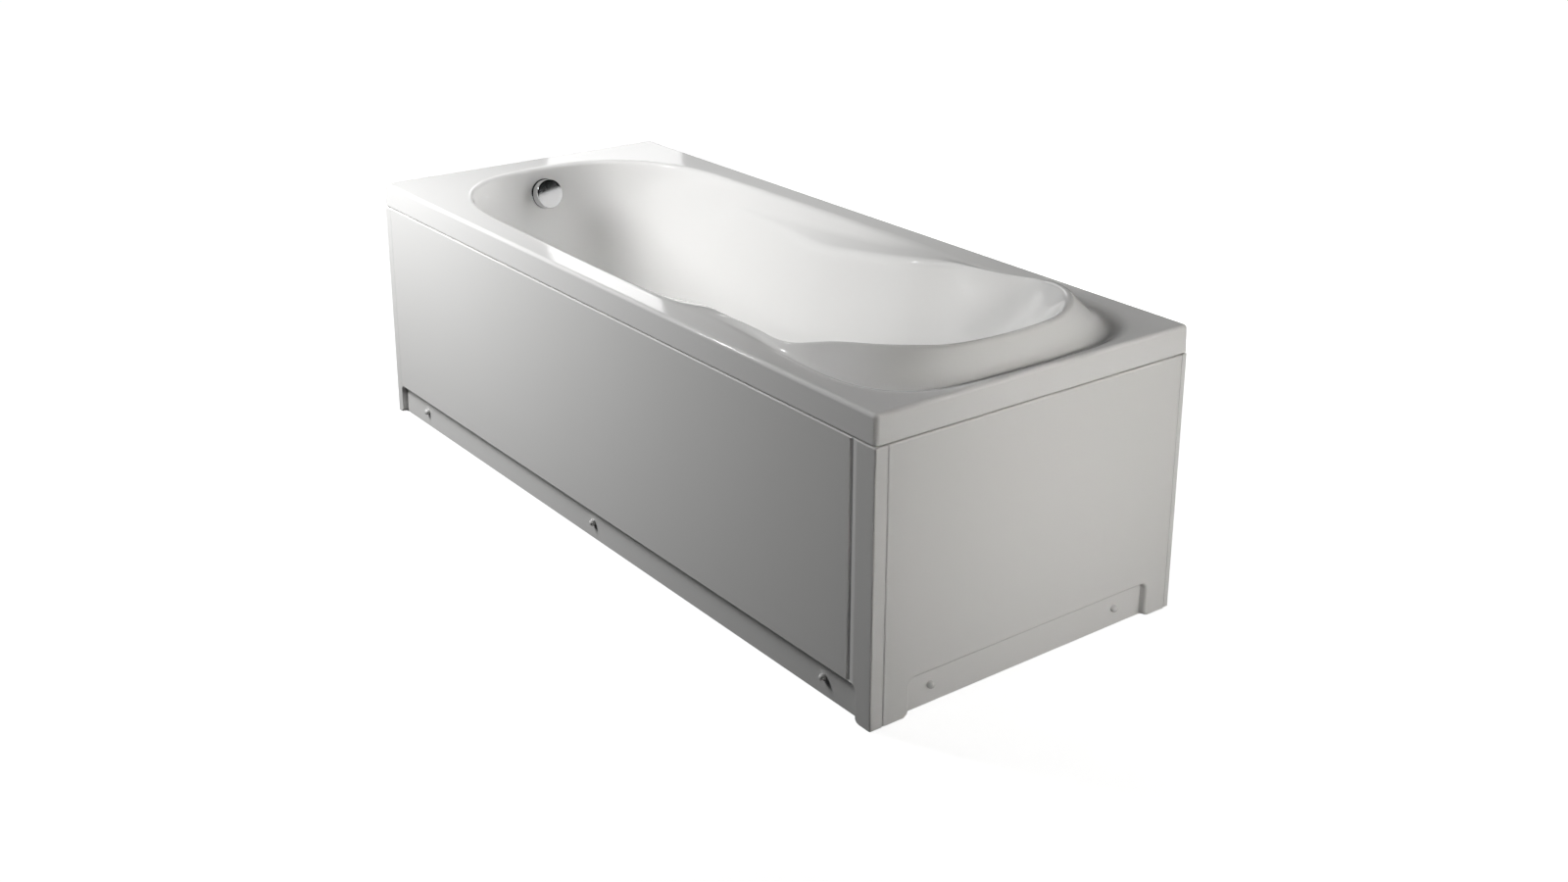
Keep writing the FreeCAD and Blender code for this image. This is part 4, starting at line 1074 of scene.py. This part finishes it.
# ---------------------------------------------------------------------------
# floor, lights, camera
# ---------------------------------------------------------------------------
floor = obj_of("studio_floor", [(-60000, -60000, 0), (60000, -60000, 0), (60000, 60000, 0), (-60000, 60000, 0)],
               [(0, 1, 2, 3)], (FLOOR,))
wall = [(14000 * math.cos(2 * math.pi * k / 96), 14000 * math.sin(2 * math.pi * k / 96)) for k in range(96)]
backdrop = obj_of("studio_wall", [(x, y, z) for z in (-10.0, 12000.0) for x, y in wall],
                  [(k, 96 + k, 96 + (k + 1) % 96, (k + 1) % 96) for k in range(96)], (BACKDROP,))
for o in (floor, backdrop):
    # bright to look at, but it throws no light of its own on the bath
    o.visible_diffuse = False
    o.visible_glossy = False
    o.visible_transmission = False
backdrop.visible_shadow = False

world = bpy.data.worlds.new("studio")
SCENE.world = world
world.use_nodes = True
world.node_tree.nodes["Background"].inputs["Color"].default_value = (0.95, 0.97, 1.0, 1.0)
world.node_tree.nodes["Background"].inputs["Strength"].default_value = 0.006


WARM = (1.0, 0.975, 0.945)


def softbox(name, at, to, size, power, colour=(1, 1, 1), shape="RECTANGLE", size_y=None, spread=180.0, mirrored=True):
    d = bpy.data.lights.new(name, "AREA")
    d.shape = shape
    d.size = size
    if size_y:
        d.size_y = size_y
    d.energy = power
    d.color = colour
    d.spread = math.radians(spread)
    o = bpy.data.objects.new(name, d)
    SCENE.collection.objects.link(o)
    o.location = at
    o.rotation_euler = (Vector(to) - Vector(at)).to_track_quat("-Z", "Y").to_euler()
    o.visible_camera = False
    o.visible_glossy = mirrored
    return o


softbox("key", (-1.1, -1.25, 1.5), (-0.45, 0.0, 0.38), 0.4, 32.6, size_y=1.0, mirrored=False)
softbox("key_core", (-1.08, -1.22, 1.47), (-0.45, 0.0, 0.38), 0.18, 4.0, size_y=0.32)
softbox("front_fill", (-3.5, -3.5, 1.5), (0.0, 0.0, 0.3), 2.0, 3.0, size_y=1.6, mirrored=False)
softbox("front_low", (-3.0, -1.5, 0.5), (-0.4, -0.35, 0.3), 1.0, 5.0, size_y=0.8, mirrored=False)
softbox("fill_end", (4.5, -0.5, 1.0), (0.85, 0.0, 0.3), 1.6, 10.5, WARM, size_y=1.0, mirrored=False)
softbox("fill_grid", (3.6, -0.5, 1.6), (0.85, 0.1, 0.36), 0.5, 1.15, WARM, size_y=0.5, spread=30.0, mirrored=False)
softbox("fill_side", (2.4, 2.0, 0.8), (0.85, 0.0, 0.3), 1.2, 6.2, WARM, size_y=0.8, mirrored=False)
softbox("fill_high", (4.5, 0.3, 2.8), (0.85, 0.0, 0.3), 1.6, 10.5, WARM, size_y=1.6, mirrored=False)
softbox("fill_low", (2.6, 1.6, 0.35), (0.85, 0.0, 0.3), 1.6, 9.4, WARM, size_y=0.5, mirrored=False)
softbox("drain_fill", (-3.0, 0.0, 2.4), (-0.3, 0.0, 0.45), 1.4, 3.0, size_y=1.4, mirrored=False)
softbox("well_fill", (0.75, 2.0, 2.2), (-0.7, -0.05, 0.4), 0.8, 1.5, size_y=0.8, spread=50.0, mirrored=False)
softbox("back_fill", (-0.6, 2.4, 0.9), (0.0, 0.0, 0.45), 2.0, 42.0, size_y=0.8, mirrored=False)

CAM = Vector((2.723, -1.937, 1.539))
YAW, PITCH, ROLL = 52.94, 17.92, 0.19
cam_data = bpy.data.cameras.new("camera")
cam_data.sensor_width = 36.0
cam_data.sensor_fit = "HORIZONTAL"
cam_data.lens = 1811.0 * 36.0 / 1600.0
cam_data.shift_y = -0.10
cam_data.clip_start = 0.05
cam_data.clip_end = 200.0
cam = bpy.data.objects.new("camera", cam_data)
SCENE.collection.objects.link(cam)
a, e = math.radians(YAW), math.radians(PITCH)
back = Vector((math.sin(a) * math.cos(e), -math.cos(a) * math.cos(e), math.sin(e)))
q = (-back).to_track_quat("-Z", "Y")
cam.rotation_mode = "QUATERNION"
from mathutils import Quaternion
cam.rotation_quaternion = q @ Quaternion((0, 0, 1), math.radians(ROLL))
cam.location = CAM
SCENE.camera = cam

# the upright softbox that the rim mirrors: its upright edges lie in two
# upright planes through the camera
def upright_panel(name, az0, az1, dist, z0, z1, power):
    fwd = Vector((-back.x, -back.y, 0)).normalized()
    right = Vector((fwd.y, -fwd.x, 0))
    mid = math.radians((az0 + az1) / 2.0)
    d = fwd * math.cos(mid) + right * math.sin(mid)
    c = Vector((CAM.x, CAM.y, 0)) + d * dist
    w = dist * (math.tan(math.radians(az1)) - math.tan(math.radians(az0)))
    return softbox(name, (c.x, c.y, (z0 + z1) / 2), (CAM.x, CAM.y, (z0 + z1) / 2), w, power, size_y=z1 - z0)


upright_panel("strip", -7.8, -4.2, 8.5, 1.85, 2.6, 3.0)
upright_panel("strip_low", -7.8, -3.4, 8.5, 1.30, 1.85, 1.6)

SCENE.view_settings.view_transform = "Standard"
SCENE.view_settings.look = "None"
SCENE.view_settings.exposure = 0.0
SCENE.view_settings.gamma = 1.0
